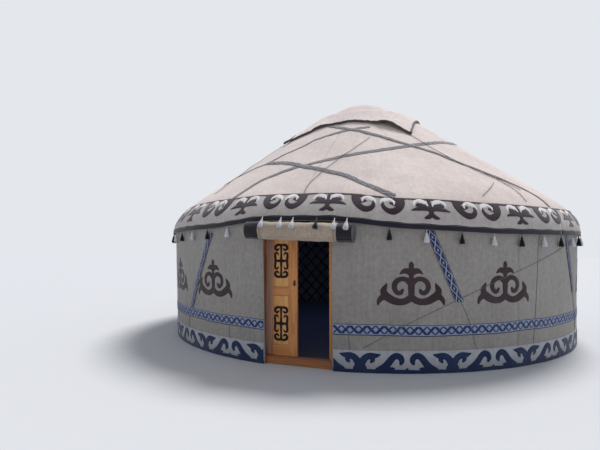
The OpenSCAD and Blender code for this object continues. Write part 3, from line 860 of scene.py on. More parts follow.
class Ornament(Enum):
    """The horn ornaments, each as a motif."""

    HANGING_HORNS = Motif((
        ((0.27, 0.285, 0.058), (0.285, 0.235, 0.044), (0.27, 0.185, 0.039), (0.225, 0.137, 0.039),
         (0.165, 0.110, 0.037), (0.105, 0.120, 0.031), (0.065, 0.155, 0.027), (0.056, 0.195, 0.018),
         (0.064, 0.215, 0.008)),
        ((0.25, 0.215, 0.034), (0.20, 0.205, 0.025), (0.16, 0.215, 0.017), (0.135, 0.21, 0.005)),
        ((0.15, 0.292, 0.014), (0.24, 0.280, 0.034), (0.335, 0.292, 0.014))), high=0.30)
    STANDING_HORNS = Motif((
        ((0.0, 0.285, 0.018), (0.0, 0.20, 0.028), (0.0, 0.15, 0.034), (0.0, 0.10, 0.025)),
        ((0.0, 0.098, 0.026), (0.042, 0.072, 0.024), (0.088, 0.060, 0.009)),
        ((0.0, 0.165, 0.030), (0.07, 0.168, 0.028), (0.13, 0.165, 0.026), (0.185, 0.155, 0.018),
         (0.235, 0.14, 0.006)),
        ((0.03, 0.175, 0.030), (0.09, 0.205, 0.027), (0.14, 0.215, 0.022), (0.17, 0.20, 0.010))))
    CREAM_SWIRLS = Motif((
        ((0.030, 0.200, 0.010), (0.050, 0.245, 0.017), (0.095, 0.272, 0.018), (0.15, 0.268, 0.018),
         (0.190, 0.235, 0.017), (0.192, 0.195, 0.008)),
        ((0.070, 0.225, 0.007), (0.10, 0.246, 0.012), (0.128, 0.240, 0.007))))
    SPLIT_HORNS = Motif((
        ((0.0, 0.03, 0.090), (0.0, 0.080, 0.054), (0.0, 0.125, 0.048)),
        ((0.018, 0.115, 0.044), (0.055, 0.172, 0.040), (0.11, 0.203, 0.036), (0.175, 0.205, 0.029),
         (0.238, 0.220, 0.006)),
        ((0.130, 0.195, 0.032), (0.148, 0.158, 0.027), (0.128, 0.130, 0.014))), cell=0.0075, low=0.004)
    ARCHED_HORNS = Motif((
        ((0.325, 0.025, 0.052), (0.258, 0.075, 0.045), (0.208, 0.135, 0.040), (0.165, 0.188, 0.038),
         (0.120, 0.208, 0.036), (0.078, 0.188, 0.036), (0.062, 0.150, 0.031), (0.075, 0.116, 0.018)),
        ((0.0, 0.028, 0.034), (0.0, 0.055, 0.014)),
        ((0.145, 0.060, 0.006), (0.18, 0.055, 0.022), (0.24, 0.040, 0.026))), cell=0.0075, low=0.004)
    RAM_HORNS = Motif((
        ((0.0, 0.505, 0.005), (0.0, 0.465, 0.031), (0.0, 0.415, 0.024), (0.0, 0.370, 0.035),
         (0.0, 0.33, 0.027), (0.0, 0.25, 0.039), (0.0, 0.15, 0.038), (0.0, 0.09, 0.034)),
        ((0.0, 0.372, 0.032), (0.045, 0.396, 0.035), (0.09, 0.394, 0.026), (0.137, 0.360, 0.005)),
        ((0.02, 0.262, 0.034), (0.06, 0.295, 0.029), (0.115, 0.305, 0.028), (0.178, 0.272, 0.031),
         (0.200, 0.208, 0.031), (0.170, 0.148, 0.028), (0.125, 0.142, 0.026), (0.104, 0.172, 0.019)),
        ((0.0, 0.088, 0.042), (0.07, 0.046, 0.039), (0.14, 0.036, 0.040), (0.22, 0.056, 0.045),
         (0.300, 0.105, 0.048)),
        ((0.308, 0.110, 0.046), (0.325, 0.165, 0.037), (0.306, 0.210, 0.024), (0.285, 0.252, 0.005)),
        ((0.300, 0.105, 0.042), (0.345, 0.086, 0.034), (0.378, 0.050, 0.026), (0.390, 0.008, 0.013))))
    DOOR_SCROLLS = Motif((
        ((0.0, 0.220, 0.006), (0.0, 0.190, 0.016), (0.0, 0.10, 0.013), (0.0, 0.0, 0.018),
         (0.0, -0.10, 0.013), (0.0, -0.190, 0.016), (0.0, -0.220, 0.006)),
        ((0.0, 0.0, 0.022), (0.045, 0.0, 0.016), (0.085, 0.0, 0.014)),
        ((0.040, 0.078, 0.008), (0.054, 0.101, 0.012), (0.080, 0.096, 0.014), (0.086, 0.060, 0.015),
         (0.080, 0.020, 0.015), (0.080, -0.020, 0.015), (0.086, -0.060, 0.015), (0.080, -0.096, 0.014),
         (0.054, -0.101, 0.012), (0.040, -0.078, 0.008)),
        ((0.0, 0.196, 0.014), (0.038, 0.207, 0.016), (0.075, 0.190, 0.018), (0.082, 0.156, 0.016),
         (0.056, 0.138, 0.014), (0.034, 0.156, 0.011)),
        ((0.0, -0.196, 0.014), (0.038, -0.207, 0.016), (0.075, -0.190, 0.018), (0.082, -0.156, 0.016),
         (0.056, -0.138, 0.014), (0.034, -0.156, 0.011))), cell=0.0042)


@dataclass
class WallFelts:
    """The nine felts hung round the lattice."""

    wall: Turned
    finish: Finish
    count: int = 9
    edge_deg: float = 7.353
    thick: float = 0.015
    tall: float = 1.84

    def build(self) -> list[Thing]:
        """Hang the felts."""
        span = (360 - 2 * self.edge_deg) / self.count
        made = []
        for k in range(self.count):
            start = self.edge_deg + k * span
            angles = np.linspace(start + 0.05, start + span - 0.05, 42)
            runs = np.repeat(np.linspace(0.006, self.wall.run[-1], 38)[:, None], len(angles), 1)
            obj, _ = wrapped_sheet(f"wall_felt_cloth_{k + 1}", self.wall, angles, runs, 0.0, self.thick,
                                   self.finish)
            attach(obj, "yurt")
            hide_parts(f"wall_felt_{k + 1}")
            made.append(obj)
        LOG.info("wall felts: %d", len(made))
        return made


@dataclass
class RoofFelts:
    """The six felts of the roof, bent over its shoulder."""

    roof: Turned
    finish: Finish
    count: int = 6
    thick: float = 0.015
    low: float = 1.845
    crown_r: float = 0.955

    def build(self) -> list[Thing]:
        """Lay the felts on the poles."""
        span = 360 / self.count
        first, last = self.roof.run_at_height(self.low), self.roof.run_at_radius(self.crown_r)
        made = []
        for k in range(self.count):
            angles = np.linspace(k * span + 0.05, (k + 1) * span - 0.05, 74)
            runs = np.repeat(np.linspace(first, last, 64)[:, None], len(angles), 1)
            obj, area = wrapped_sheet(f"roof_felt_cloth_{k + 1}", self.roof, angles, runs, 0.0, self.thick,
                                      self.finish)
            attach(obj, "yurt")
            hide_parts(f"roof_felt_{k + 1}")
            made.append(obj)
        LOG.info("roof felts: %d", len(made))
        return made


@dataclass
class EaveFrieze:
    """The ornamented felt over the eave: ground, border, top binding and horn ornaments."""

    roof: Turned
    ground: Finish
    border: Finish
    binding: Finish
    horns: Finish
    swirls: Finish
    outer: float = 0.0134
    thick: float = 0.008
    border_w: float = 0.060
    binding_w: float = 0.020
    drawn_tall: float = 0.30

    def low(self, a: Array) -> Array:
        """Where the lower edge runs."""
        return self.roof.run_at_height(along(EAVE, a))

    def high(self, a: Array) -> Array:
        """Where the upper edge runs."""
        return self.roof.run_at_height(along(EAVE, a) + along(FRIEZE_TALL, a))

    def strip(self, name: str, a0: float, a1: float, runs: Callable[[Array], Array], lift: float,
              thick: float, finish: Finish, rows: int) -> tuple[Thing, float]:
        """Lay one strip of felt between two angles.

        Args:
            name: The piece's name.
            a0: Angle where it starts.
            a1: Angle where it ends.
            runs: Gives the lower and the upper edge, as two rows.
            lift: How far its seen side stands off.
            thick: Its thickness.
            finish: Its material.
            rows: Number of rows of points.

        Returns:
            The strip and its area.
        """
        angles = np.linspace(a0, a1, int((a1 - a0) / 0.8))
        edges = runs(angles)
        share = np.linspace(0, 1, rows)[:, None]
        grid = edges[0] + (edges[1] - edges[0]) * share
        return wrapped_sheet(name, self.roof, angles, grid, lift, thick, finish)

    def build(self) -> list[Thing]:
        """Make the three lengths with their borders, then all ornaments."""
        made = []
        for k in range(3):
            a0, a1 = k * 120 + 60.05, k * 120 + 179.95
            cloth, _ = self.strip(f"frieze_cloth_{k + 1}", a0, a1, lambda a: (self.low(a), self.high(a)),
                                  self.outer, self.thick, self.ground, 14)
            edge, _ = self.strip(f"frieze_border_{k + 1}", a0, a1,
                                 lambda a: (self.low(a) - 0.002, self.low(a) + self.border_w
                                            + 0.004 * np.sin(np.radians(a) * 61)),
                                 self.outer + 0.0035, 0.0035, self.border, 5)
            top, _ = self.strip(f"frieze_binding_{k + 1}", a0, a1,
                                lambda a: (self.high(a) - self.binding_w
                                           - 0.006 * np.sin(np.radians(a) * 43 + 1.0), self.high(a) + 0.003),
                                self.outer + 0.0035, 0.0035, self.binding, 4)
            for piece, width in ((cloth, 0.42), (edge, self.border_w), (top, self.binding_w)):
                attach(piece, "yurt")
                made.append(piece)
            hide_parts(f"eave_frieze_{k + 1}")
        made.append(self.ornaments("frieze_hanging_horns", Ornament.HANGING_HORNS, 16.4, self.horns, 0.004))
        made.append(self.ornaments("frieze_standing_horns", Ornament.STANDING_HORNS, 6.4, self.horns, 0.004))
        made.append(self.ornaments("frieze_swirls", Ornament.CREAM_SWIRLS, 6.4, self.swirls, 0.0052, 10))
        LOG.info("eave frieze: %d pieces", len(made))
        return made

    def ornaments(self, name: str, kind: Ornament, start: float, finish: Finish,
                  thick: float, pitch: float = 20) -> Thing:
        """Lay one ornament again and again, all round.

        Args:
            name: The piece's name.
            kind: Which ornament.
            start: Angle of the first.
            finish: The felt it is cut from.
            thick: Its thickness.
            pitch: Degrees from one to the next.

        Returns:
            All of them, as one piece.
        """
        parts = []
        for k in range(round(360 / pitch)):
            centre = start + pitch * k

            def place(x: Array, y: Array, lift: Array, centre: float = centre) -> Array:
                """Lay points of the ornament over the ground."""
                a = centre + np.degrees(x / FRIEZE_R)
                low, high = self.low(a) + self.border_w, self.high(a)
                return self.roof.place(a, low + (high - low) * y / self.drawn_tall, lift + self.outer)

            parts.append(lay_motif(kind.value, place, thick))
        points, faces = joined(parts)
        obj = mesh_object(name, points, faces, finish)
        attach(obj, "yurt")
        return obj


@dataclass
class Skirt:
    """The ornamented felt round the foot of the wall."""

    wall: Turned
    ground: Finish
    horns: Finish
    edge_deg: float = 7.469
    tall: float = 0.26
    outer: float = 0.0064
    thick: float = 0.006

    def build(self) -> list[Thing]:
        """Make the three lengths, their dark lower edge and the ornaments."""
        span = (360 - 2 * self.edge_deg) / 3
        made = []
        for k in range(3):
            a0 = self.edge_deg + k * span
            angles = np.linspace(a0 + 0.05, a0 + span - 0.05, 150)
            for name, top, lift, thick, finish in (
                    ("skirt_cloth", self.tall, self.outer, self.thick, self.ground),
                    ("skirt_edge", 0.045, self.outer + 0.003, 0.003, self.horns)):
                uneven = 0.003 * np.sin(np.radians(angles) * 57) if top < 0.1 else 0.0 * angles
                runs = 0.003 + np.linspace(0.0, 1.0, 10)[:, None] * (top - 0.003 + uneven)
                obj, _ = wrapped_sheet(f"{name}_{k + 1}", self.wall, angles, runs, lift, thick, finish)
                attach(obj, "yurt")
                if name == "skirt_cloth":
                    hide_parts(f"skirt_{k + 1}")
                made.append(obj)
        repeat = 17.86
        for name, kind, start in (("skirt_split_horns", Ornament.SPLIT_HORNS, 12.7),
                                  ("skirt_arched_horns", Ornament.ARCHED_HORNS, 12.7 + repeat / 2)):
            parts = []
            for k in range(-1, 21):
                centre = start + k * repeat
                ends = [math.radians(e - centre) * SKIRT_R
                        for e in (self.edge_deg + 0.1, 359.9 - self.edge_deg)]
                if ends[0] > 0.3 or ends[1] < -0.3:
                    continue
                whole = replace(kind.value, first=ends[0], last=ends[1])
                parts.append(lay_motif(whole, lambda x, y, lift, c=centre: self.wall.place(
                    c + np.degrees(x / SKIRT_R), y, lift + self.outer), 0.0035))
            points, faces = joined(parts)
            obj = mesh_object(name, points, faces, self.horns)
            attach(obj, "yurt")
            made.append(obj)
        LOG.info("skirt: %d pieces", len(made))
        return made


@dataclass
class WallOrnaments:
    """The ram's-horn ornaments sewn to the wall felt."""

    wall: Turned
    finish: Finish
    angles: tuple = (22.5, 42.4, 81.2, 100.3, 120.2, 139.3, 159.2)
    foot: float = 0.80

    def build(self) -> Thing:
        """Cut and lay all of them, as one piece."""
        parts = []
        for centre in [side * a for side in (1, -1) for a in self.angles]:
            parts.append(lay_motif(Ornament.RAM_HORNS.value, lambda x, y, lift, c=centre: self.wall.place(
                c + np.degrees(x / HORNS_R), self.foot + y, lift), 0.0035))
        points, faces = joined(parts)
        obj = mesh_object("wall_ram_horns", points, faces, self.finish)
        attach(obj, "yurt")
        LOG.info("wall ornaments: %d", len(parts))
        return obj


def ribbon(name: str, left: Array, right: Array, out: Array, thick: float, finish: Finish,
           width: float) -> Thing:
    """Make a woven strip from its two edges.

    Args:
        name: The piece's name.
        left: Points of one edge.
        right: Points of the other edge.
        out: For each pair, the direction off the surface.
        thick: Its thickness.
        finish: Its material.
        width: Its width, for the pattern.

    Returns:
        The strip, five points wide so that its middle is slightly full.
    """
    share = np.linspace(0, 1, 5)
    full = np.array([-0.0012, 0.0, 0.0008, 0.0, -0.0012])
    rows = np.stack([left + (right - left) * t + out * f for t, f in zip(share, full)], 0)
    middle = (left + right) / 2
    length = np.concatenate([[0], np.cumsum(np.linalg.norm(np.diff(middle, axis=0), axis=1))])
    uv = np.stack([np.tile(length, (5, 1)),
                   np.repeat((share[:, None] - 0.5) * width, len(length), 1)], -1)
    return felt_sheet(name, rows, thick, finish, uv)


@dataclass
class Bands:
    """The woven bands: one round the wall, eight on the wall, eight over the roof."""

    wall: Turned
    roof: Turned
    band_finish: Finish
    strap_finish: Finish
    roof_finish: Finish
    band_mid: float = 0.50
    band_wide: float = 0.13
    strap_wide: float = 0.095
    strap_top: float = 1.672
    strap_low: float = 0.83
    strap_tops: tuple = ((-1, (22.9, 64.0, 103.0, 142.0), 9.2), (1, (26.0, 64.0, 103.0, 142.0), 7.1))
    edge_deg: float = 7.553
    lines: tuple = (
        ((-19.6, 3.32), (-17.2, 2.96), (-11.8, 2.75), (-3.6, 2.60), (5.7, 2.46), (14.8, 2.35), (27.7, 2.21),
         (37, 2.09), (50, 1.96), (64, 1.86), (78, 1.78)),
        ((-27, 2.40), (-10, 2.56), (-4, 2.68), (4, 2.83), (9.5, 2.97), (13.5, 3.14), (17, 3.29), (20, 3.39)),
        ((-45, 2.78), (-36, 2.56), (-27, 2.39), (-22.5, 2.22), (-17, 2.05), (-12, 1.85), (-4.7, 1.72),
         (5.6, 1.59), (17.6, 1.53)),
        ((-16, 1.33), (-7.4, 1.40), (1.4, 1.52), (12, 1.67), (18, 1.79), (27, 2.00), (33, 2.15), (40, 2.34),
         (45.5, 2.57), (51, 2.79), (56, 3.00), (59, 3.17), (60, 3.34), (60, 3.45)))
    widths: tuple = (0.08, 0.075, 0.07, 0.07)
    lifts: tuple = ((0.0053, 0.0053), (0.0103, 0.0072), (0.0053, 0.0053), (0.0103, 0.0072))

    def build(self) -> list[Thing]:
        """Lay all bands."""
        made = [self.round_band()]
        for side, tops, slant in self.strap_tops:
            for k, top in enumerate(tops):
                low = 0.569 if side < 0 and k == 0 else self.strap_low
                made.append(self.wall_strap(side, k + 1, top, low, slant))
        for turn in (0, 180):
            for k, line in enumerate(self.lines):
                made.append(self.roof_strap(f"roof_strap_{turn // 180 * 4 + k + 1}", line, turn,
                                            self.widths[k], self.lifts[k]))
        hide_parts("wall_straps")
        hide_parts("roof_straps")
        for obj in made:
            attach(obj, "yurt")
        LOG.info("woven bands: %d", len(made))
        return made

    def round_band(self) -> Thing:
        """Run the band round the wall."""
        a = np.linspace(self.edge_deg, 360 - self.edge_deg, 520)
        dip = 0.004 * np.sin(np.radians(a) * 9) + 0.003 * np.sin(np.radians(a) * 23 + 1)
        low, high = self.band_mid - self.band_wide / 2 + dip, self.band_mid + self.band_wide / 2 + dip
        left = self.wall.place(a, low, 0.0046)
        right = self.wall.place(a, high, 0.0046)
        out = self.wall.place(a, (low + high) / 2, 1.0) - self.wall.place(a, (low + high) / 2, 0.0)
        obj = ribbon("wall_band_woven", left, right, out, 0.004, self.band_finish, self.band_wide)
        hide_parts("wall_band")
        return obj

    def wall_strap(self, side: int, number: int, top_deg: float, low: float, slant: float) -> Thing:
        """Lay one slanting strap on the wall."""
        z = np.linspace(self.strap_top, low, 40)
        middle = top_deg + (self.strap_top - z) * slant
        half = math.degrees(self.strap_wide / 2 / WALL_R) / math.cos(math.radians(25))
        inner = self.wall.place(side * (middle - half), z, 0.0061)
        outer = self.wall.place(side * (middle + half), z, 0.0061)
        out = self.wall.place(side * middle, z, 1.0) - self.wall.place(side * middle, z, 0.0)
        left, right = (inner, outer) if side > 0 else (outer, inner)
        name = f"wall_strap_{'right' if side > 0 else 'left'}_{number}"
        return self.strap(name, left, right, out, self.strap_finish, self.strap_wide, "wall_felt_cloth_1")

    def roof_strap(self, name: str, line: Sequence, turn: float, wide: float,
                   lifts: tuple[float, float]) -> Thing:
        """Lay one strap over the roof."""
        flat = np.array([(r * math.sin(math.radians(a + turn)), -r * math.cos(math.radians(a + turn)))
                         for a, r in line])
        path = smooth_path(flat, 12)
        step = np.gradient(path, axis=0)
        step /= np.linalg.norm(step, axis=1, keepdims=True)
        across = np.stack([-step[:, 1], step[:, 0]], 1) * wide / 2
        lift = np.interp(np.linspace(0, 1, len(path)), (0.5, 0.8), lifts)
        left, right = (self.on_roof(path + s * across, lift) for s in (1, -1))
        out = self.on_roof(path, lift + 1.0) - self.on_roof(path, lift)
        return self.strap(name, left, right, out, self.roof_finish, wide, "roof_felt_cloth_1")

    def strap(self, name: str, left: Array, right: Array, out: Array, finish: Finish,
              wide: float, under: str) -> Thing:
        """Weave one strap between its edges, as long as its middle line.

        Args:
            name: The piece's name.
            left: Points of its left edge.
            right: Points of its right edge.
            out: For each pair, the direction off the surface.
            finish: Its material.
            wide: Its width.
            under: Not used; it names the piece that the strap lies on.

        Returns:
            The strap.
        """
        obj = ribbon(name, right, left, out, 0.004, finish, wide)
        return obj

    def on_roof(self, flat: Array, lift: Array) -> Array:
        """Points of the roof above or below places in plan."""
        a = np.degrees(np.arctan2(flat[:, 0], -flat[:, 1]))
        return self.roof.place(a, self.roof.run_at_radius(np.hypot(flat[:, 0], flat[:, 1])), lift)


@dataclass
class CrownCover:
    """The felt over the crown, with its rolled dark edge, which stands up in one place."""

    roof: Turned
    finish: Finish
    roll_finish: Finish
    half_x: float = 1.11
    half_y: float = 1.38
    thick: float = 0.012
    lift: float = 0.016
    sphere_r: float = 1.0321
    sphere_z: float = 3.1979
    dome_r: float = 0.688

    def base(self, r: Array) -> Array:
        """Height of the cover's underside over slats, ring and roof felt."""
        dome = self.sphere_z + np.sqrt(np.maximum((self.sphere_r + 0.0063) ** 2 - r * r, 0))
        edge = float(self.sphere_z + math.sqrt((self.sphere_r + 0.0063) ** 2 - self.dome_r ** 2))
        felt_r = 1.30
        slope = (CROWN_Z - SLOPE_Z) / (SLOPE_R - CROWN_R)
        roof = CROWN_Z - (r - CROWN_R) * slope + self.lift
        felt_z = CROWN_Z - (felt_r - CROWN_R) * slope + self.lift
        between = np.interp(r, [self.dome_r, 0.94, felt_r], [edge, 3.865 + self.lift, felt_z])
        return np.where(r <= self.dome_r, dome, np.where(r >= felt_r, roof, between))

    def height(self, x: Array, y: Array) -> Array:
        """Height of the cover's seen side, with its folds."""
        r = np.hypot(x, y)
        a = np.degrees(np.arctan2(x, -y))
        z = self.base(r) + self.thick / math.cos(math.radians(35.6)) + 0.004
        out = np.clip((r - 0.9) / 0.5, 0, 1)
        folds = (0.010 * np.sin(np.radians(a) * 8 + 0.6) ** 2 + 0.007 * np.sin(np.radians(a) * 19 + 2)
                 + 0.005 * np.sin(x * 9 + y * 5))
        waves = roof_wave(a, self.roof.run_at_radius(np.clip(r, CROWN_R, 3.2)))
        z = z + out * (np.maximum(folds, 0) + waves * 1.2)
        ring = np.exp(-((r - 0.97) / 0.11) ** 2)
        z = z + 0.014 * ring + 0.003 * np.sin(x * 21) * np.sin(y * 17)
        front = np.clip((-y - 0.85) / 0.5, 0, 1)
        return z + 0.075 * front ** 2 * np.exp(-((x - 0.72) / 0.17) ** 2)

    def build(self) -> list[Thing]:
        """Drape the felt, and roll its edge."""
        n = 121
        t = np.linspace(-1, 1, n)
        x, y = np.meshgrid(t * self.half_x, t * self.half_y)
        bow = 0.035 * (1 - t ** 2)
        x = x * (1 - bow[:, None] * np.abs(x) / self.half_x)
        y = y * (1 - bow[None, :] * np.abs(y) / self.half_y)
        outer = np.stack([x, y, self.height(x, y)], -1)
        cloth = felt_sheet("crown_cover_cloth", outer, self.thick, self.finish, np.stack([x, y], -1))
        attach(cloth, "yurt")
        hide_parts("crown_cover")
        rim = np.vstack([outer[0, :-1], outer[:-1, -1], outer[-1, :0:-1], outer[:0:-1, 0]])
        rim = np.vstack([rim, rim[:1]])
        down = rim.copy()
        down[:, 2] -= 0.004
        number = np.arange(len(down))
        size = 0.017 + 0.003 * np.sin(number * 0.37) + 0.002 * np.sin(number * 1.1)
        points, faces, uv = tube(down, size, 10)
        roll = mesh_object("crown_cover_rolled_edge", points, faces, self.roll_finish, uv)
        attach(roll, "yurt")
        LOG.info("crown cover")
        return [cloth, roll]


@dataclass
class DoorRoll:
    """The rolled felt curtain over the door, with its dark ends."""

    middle: Point = (0.075, -3.6455, 1.667)
    slope_deg: float = 2.3
    half: float = 0.69
    end: float = 0.185
    radius: float = 0.115
    layer: float = 0.017

    def section(self, x: Array, phi: Array, radius: float) -> Array:
        """Points of the roll's outer turn, with its lap and its bulges."""
        lap = 0.007 * (phi / (2 * math.pi))
        soft = (0.0022 * np.sin(x * 17 + 1) * np.sin(phi * 2 + 0.5) + 0.0016 * np.sin(x * 41 + phi * 3)
                + 0.0010 * np.sin(phi * 7 + x * 9))
        r = radius - 0.0085 + lap + soft
        return np.stack([x + 0 * phi, r * np.sin(phi + 3.9), r * np.cos(phi + 3.9)], -1)

    def placed(self, points: Array) -> Array:
        """Turn and move local points to the roll's place."""
        t = math.radians(self.slope_deg)
        x, y, z = points[:, 0], points[:, 1], points[:, 2]
        return np.stack([x * math.cos(t) + z * math.sin(t) + self.middle[0], y + self.middle[1],
                         -x * math.sin(t) + z * math.cos(t) + self.middle[2]], 1)

    def length(self, name: str, x0: float, x1: float, radius: float, finish: Finish) -> Thing:
        """Make one length of the roll, with its layers showing at both ends.

        Args:
            name: The piece's name.
            x0: Where it starts.
            x1: Where it ends.
            radius: Its radius.
            finish: Its felt.

        Returns:
            The closed piece.
        """
        turns = 72
        phi = np.linspace(0, 2 * math.pi, turns)
        xs = np.linspace(x0, x1, max(int((x1 - x0) / 0.012), 6))
        rings = [self.section(np.full(turns, x), phi, radius) for x in xs]
        caps = []
        depth = 14
        for x, sign in ((x0, -1), (x1, 1)):
            for k in range(1, depth + 1):
                share = 1 - k / depth
                ring = self.section(np.full(turns, x), phi, radius)
                ring[:, 1:] *= share
                groove = np.cos((share * radius / self.layer - phi / (2 * math.pi)) * 2 * math.pi)
                ring[:, 0] = x - sign * (0.004 - 0.003 * groove) * min(1.0, k / 1.5)
                caps.append(ring)
        order = caps[:depth][::-1] + rings + caps[depth:]
        points = self.placed(np.vstack(order))
        faces = grid_faces(len(order), turns)
        # The lap's step closes each ring
        for k in range(len(order) - 1):
            a, b = k * turns, (k + 1) * turns
            faces.append((a + turns - 1, a, b, b + turns - 1))
        at = np.concatenate([np.linspace(x0 - radius, x0, depth, endpoint=False), xs,
                             np.linspace(x1, x1 + radius, depth)])
        uv = np.stack([np.repeat(at, turns), np.tile(phi * radius, len(order))], 1)
        return mesh_object(name, points, faces, finish, uv)

    def build(self, cream: Finish, dark: Finish, yarn: Finish) -> list[Thing]:
        """Roll the felt and tie it."""
        inner = self.half - self.end
        body = self.length("door_roll_cloth", -inner, inner, self.radius, cream)
        left = self.length("door_roll_dark_left", -self.half, -inner - 0.0004, self.radius - 0.001, dark)
        right = self.length("door_roll_dark_right", inner + 0.0004, self.half, self.radius - 0.001, dark)
        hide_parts("door_roll")
        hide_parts("door_roll_ends")
        made = [body, left, right]
        parts = []
        for x in (-inner + 0.03, inner - 0.03):
            turn = np.linspace(0, 2 * math.pi, 49)
            ring = np.stack([x + 0.004 * np.sin(turn * 2), (self.radius + 0.002) * np.sin(turn),
                             (self.radius + 0.002) * np.cos(turn)], 1)
            points, faces, _ = tube(self.placed(ring), 0.004, 7)
            parts.append((points, faces))
        points, faces = joined(parts)
        ties = mesh_object("door_roll_ties", points, faces, yarn, np.zeros((len(points), 2)))
        made.append(ties)
        for obj in made:
            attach(obj, "yurt")
            ("roll_dark_felt" if "dark" in obj.name else
                    "wool_rope" if "ties" in obj.name else "roll_felt")
        for obj in made[:3]:
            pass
        LOG.info("door roll")
        return made


class Hand(Enum):
    """The side of the doorway that a leaf hangs on."""

    LEFT = "left"
    RIGHT = "right"


@dataclass(frozen=True)
class LeafFinishes:
    """The finishes of a door leaf."""

    stile: Finish
    hinge_stile: Finish
    panel: Finish
    scrolls: Finish
    iron: Finish


@dataclass
class DoorLeaf:
    """A framed leaf: two stiles, three rails, two fielded panels, mouldings, scrolls, pins and a latch."""

    hand: Hand
    finishes: LeafFinishes
    pin: tuple[float, float] = (0.4385, -3.3525)
    door_x: float = -0.045
    open_deg: float = 100.0
    thick: float = 0.035
    swing: float = 0.436
    stile: float = 0.110
    low: float = 0.100
    high: float = 1.710
    rails: tuple = ((0.100, 0.220), (0.8675, 0.9525), (1.625, 1.710))
    parts: list = field(default_factory=list)

    def placed(self, points: Array) -> Array:
        """Take points from the leaf's own axes to its place at rest."""
        p = np.asarray(points, float).copy()
        if self.hand is Hand.LEFT:
            return p + np.array([self.door_x - self.pin[0], self.pin[1], 0.0])
        p[:, 0] *= -1
        t = -math.radians(self.open_deg)
        x = p[:, 0] * math.cos(t) - p[:, 1] * math.sin(t)
        y = p[:, 0] * math.sin(t) + p[:, 1] * math.cos(t)
        return np.stack([x + self.door_x + self.pin[0], y + self.pin[1], p[:, 2]], 1)

    def turned_faces(self, faces: list) -> list:
        """Turn faces round on the mirrored leaf."""
        return faces if self.hand is Hand.LEFT else [tuple(reversed(f)) for f in faces]

    def board(self, lo: Point, hi: Point, soft: float, level: bool, shift: float) -> tuple:
        """Make a board with eased edges and slightly uneven faces.

        Args:
            lo: Its lowest corner.
            hi: Its highest corner.
            soft: Radius of its edges.
            level: Whether its grain lies level.
            shift: Where it was cut from, so that each board has its own grain.

        Returns:
            Points, faces and grain places.
        """
        a, b = np.array(lo), np.array(hi)
        corner = [(0, 0), (1, 0), (1, 1), (0, 1)]
        section = []
        for (cx, cy), start in zip(corner, (180, 270, 0, 90)):
            mid = np.array([a[0] + soft if cx == 0 else b[0] - soft,
                            a[1] + soft if cy == 0 else b[1] - soft])
            for t in (0, 45, 90):
                g = math.radians(start + t)
                section.append(mid + soft * np.array([math.cos(g), math.sin(g)]))
        section = np.array(section)
        middle = section.mean(0)
        levels = [(a[2], 0.7), (a[2] + soft * 0.3, 0.3), (a[2] + soft, 0.0)]
        levels += [(z, 0.0) for z in np.linspace(a[2] + soft, b[2] - soft, 14)[1:-1]]
        levels += [(b[2] - soft, 0.0), (b[2] - soft * 0.3, 0.3), (b[2], 0.7)]
        rings = []
        for z, pull in levels:
            away = section - middle
            away /= np.linalg.norm(away, axis=1, keepdims=True)
            ring = section - away * soft * pull
            rings.append(np.column_stack([ring, np.full(len(ring), z)]))
        points = np.vstack(rings)
        grain = points[:, [2, 1, 0]] if level else points
        return points, ring_faces(len(rings), len(section)), grain + np.array([shift, shift * 0.7, 0.0])

    def piece(self, name: str, parts: list, finish: Finish, smooth: bool = False) -> Thing:
        """Make one piece of the leaf from its parts' points, faces and grain."""
        points, faces = joined([(p[0], p[1]) for p in parts])
        grain = np.vstack([p[2] if len(p) > 2 else p[0] for p in parts])
        obj = mesh_object(f"{self.hand.value}_leaf_{name}", self.placed(points), self.turned_faces(faces),
                          finish, smooth=smooth, grain=grain)
        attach(obj, f"leaf_{self.hand.value}")
        self.parts.append(obj)
        return obj

    def moulding(self, x0: float, x1: float, z0: float, z1: float, side: int) -> tuple:
        """Run a mitred moulding round an opening, on the front or the back."""
        profile = ((0.0, 0.0155), (0.004, 0.0165), (0.009, 0.013), (0.013, 0.0115), (0.017, 0.0075))
        corners = ((x0, z0, 1, 1), (x1, z0, -1, 1), (x1, z1, -1, -1), (x0, z1, 1, -1))
        points = []
        for x, z, dx, dz in corners:
            for inset, height in profile:
                points.append((x + dx * inset, side * height, z + dz * inset))
        n = len(profile)
        faces = []
        for k in range(4):
            q = (k + 1) % 4
            for j in range(n - 1):
                face = (k * n + j, q * n + j, q * n + j + 1, k * n + j + 1)
                faces.append(face if side < 0 else tuple(reversed(face)))
        points = np.array(points)
        return points, faces, points + 3.1

    def panel(self, x0: float, x1: float, z0: float, z1: float, shift: float) -> tuple:
        """Make a fielded panel: a raised middle, a slope and a thin edge."""
        rings = ((0.0, 0.0045), (0.016, 0.0045), (0.040, 0.0088), (0.043, 0.0100), (0.048, 0.0100))
        points, faces = [], []
        for side in (-1, 1):
            start = len(points)
            for inset, height in rings:
                for x, z in ((x0 + inset, z0 + inset), (x1 - inset, z0 + inset),
                             (x1 - inset, z1 - inset), (x0 + inset, z1 - inset)):
                    points.append((x, side * height, z))
            for k in range(len(rings) - 1):
                for j in range(4):
                    q = (j + 1) % 4
                    ring, after = start + k * 4, start + (k + 1) * 4
                    face = (ring + j, ring + q, after + q, after + j)
                    faces.append(face if side < 0 else tuple(reversed(face)))
            last = start + (len(rings) - 1) * 4
            face = (last, last + 1, last + 2, last + 3)
            faces.append(face if side < 0 else tuple(reversed(face)))
        back = len(rings) * 4
        for j in range(4):
            q = (j + 1) % 4
            faces.append((q, j, back + j, back + q))
        points = np.array(points)
        return points, faces, points + np.array([shift, 0.3, 0.0])

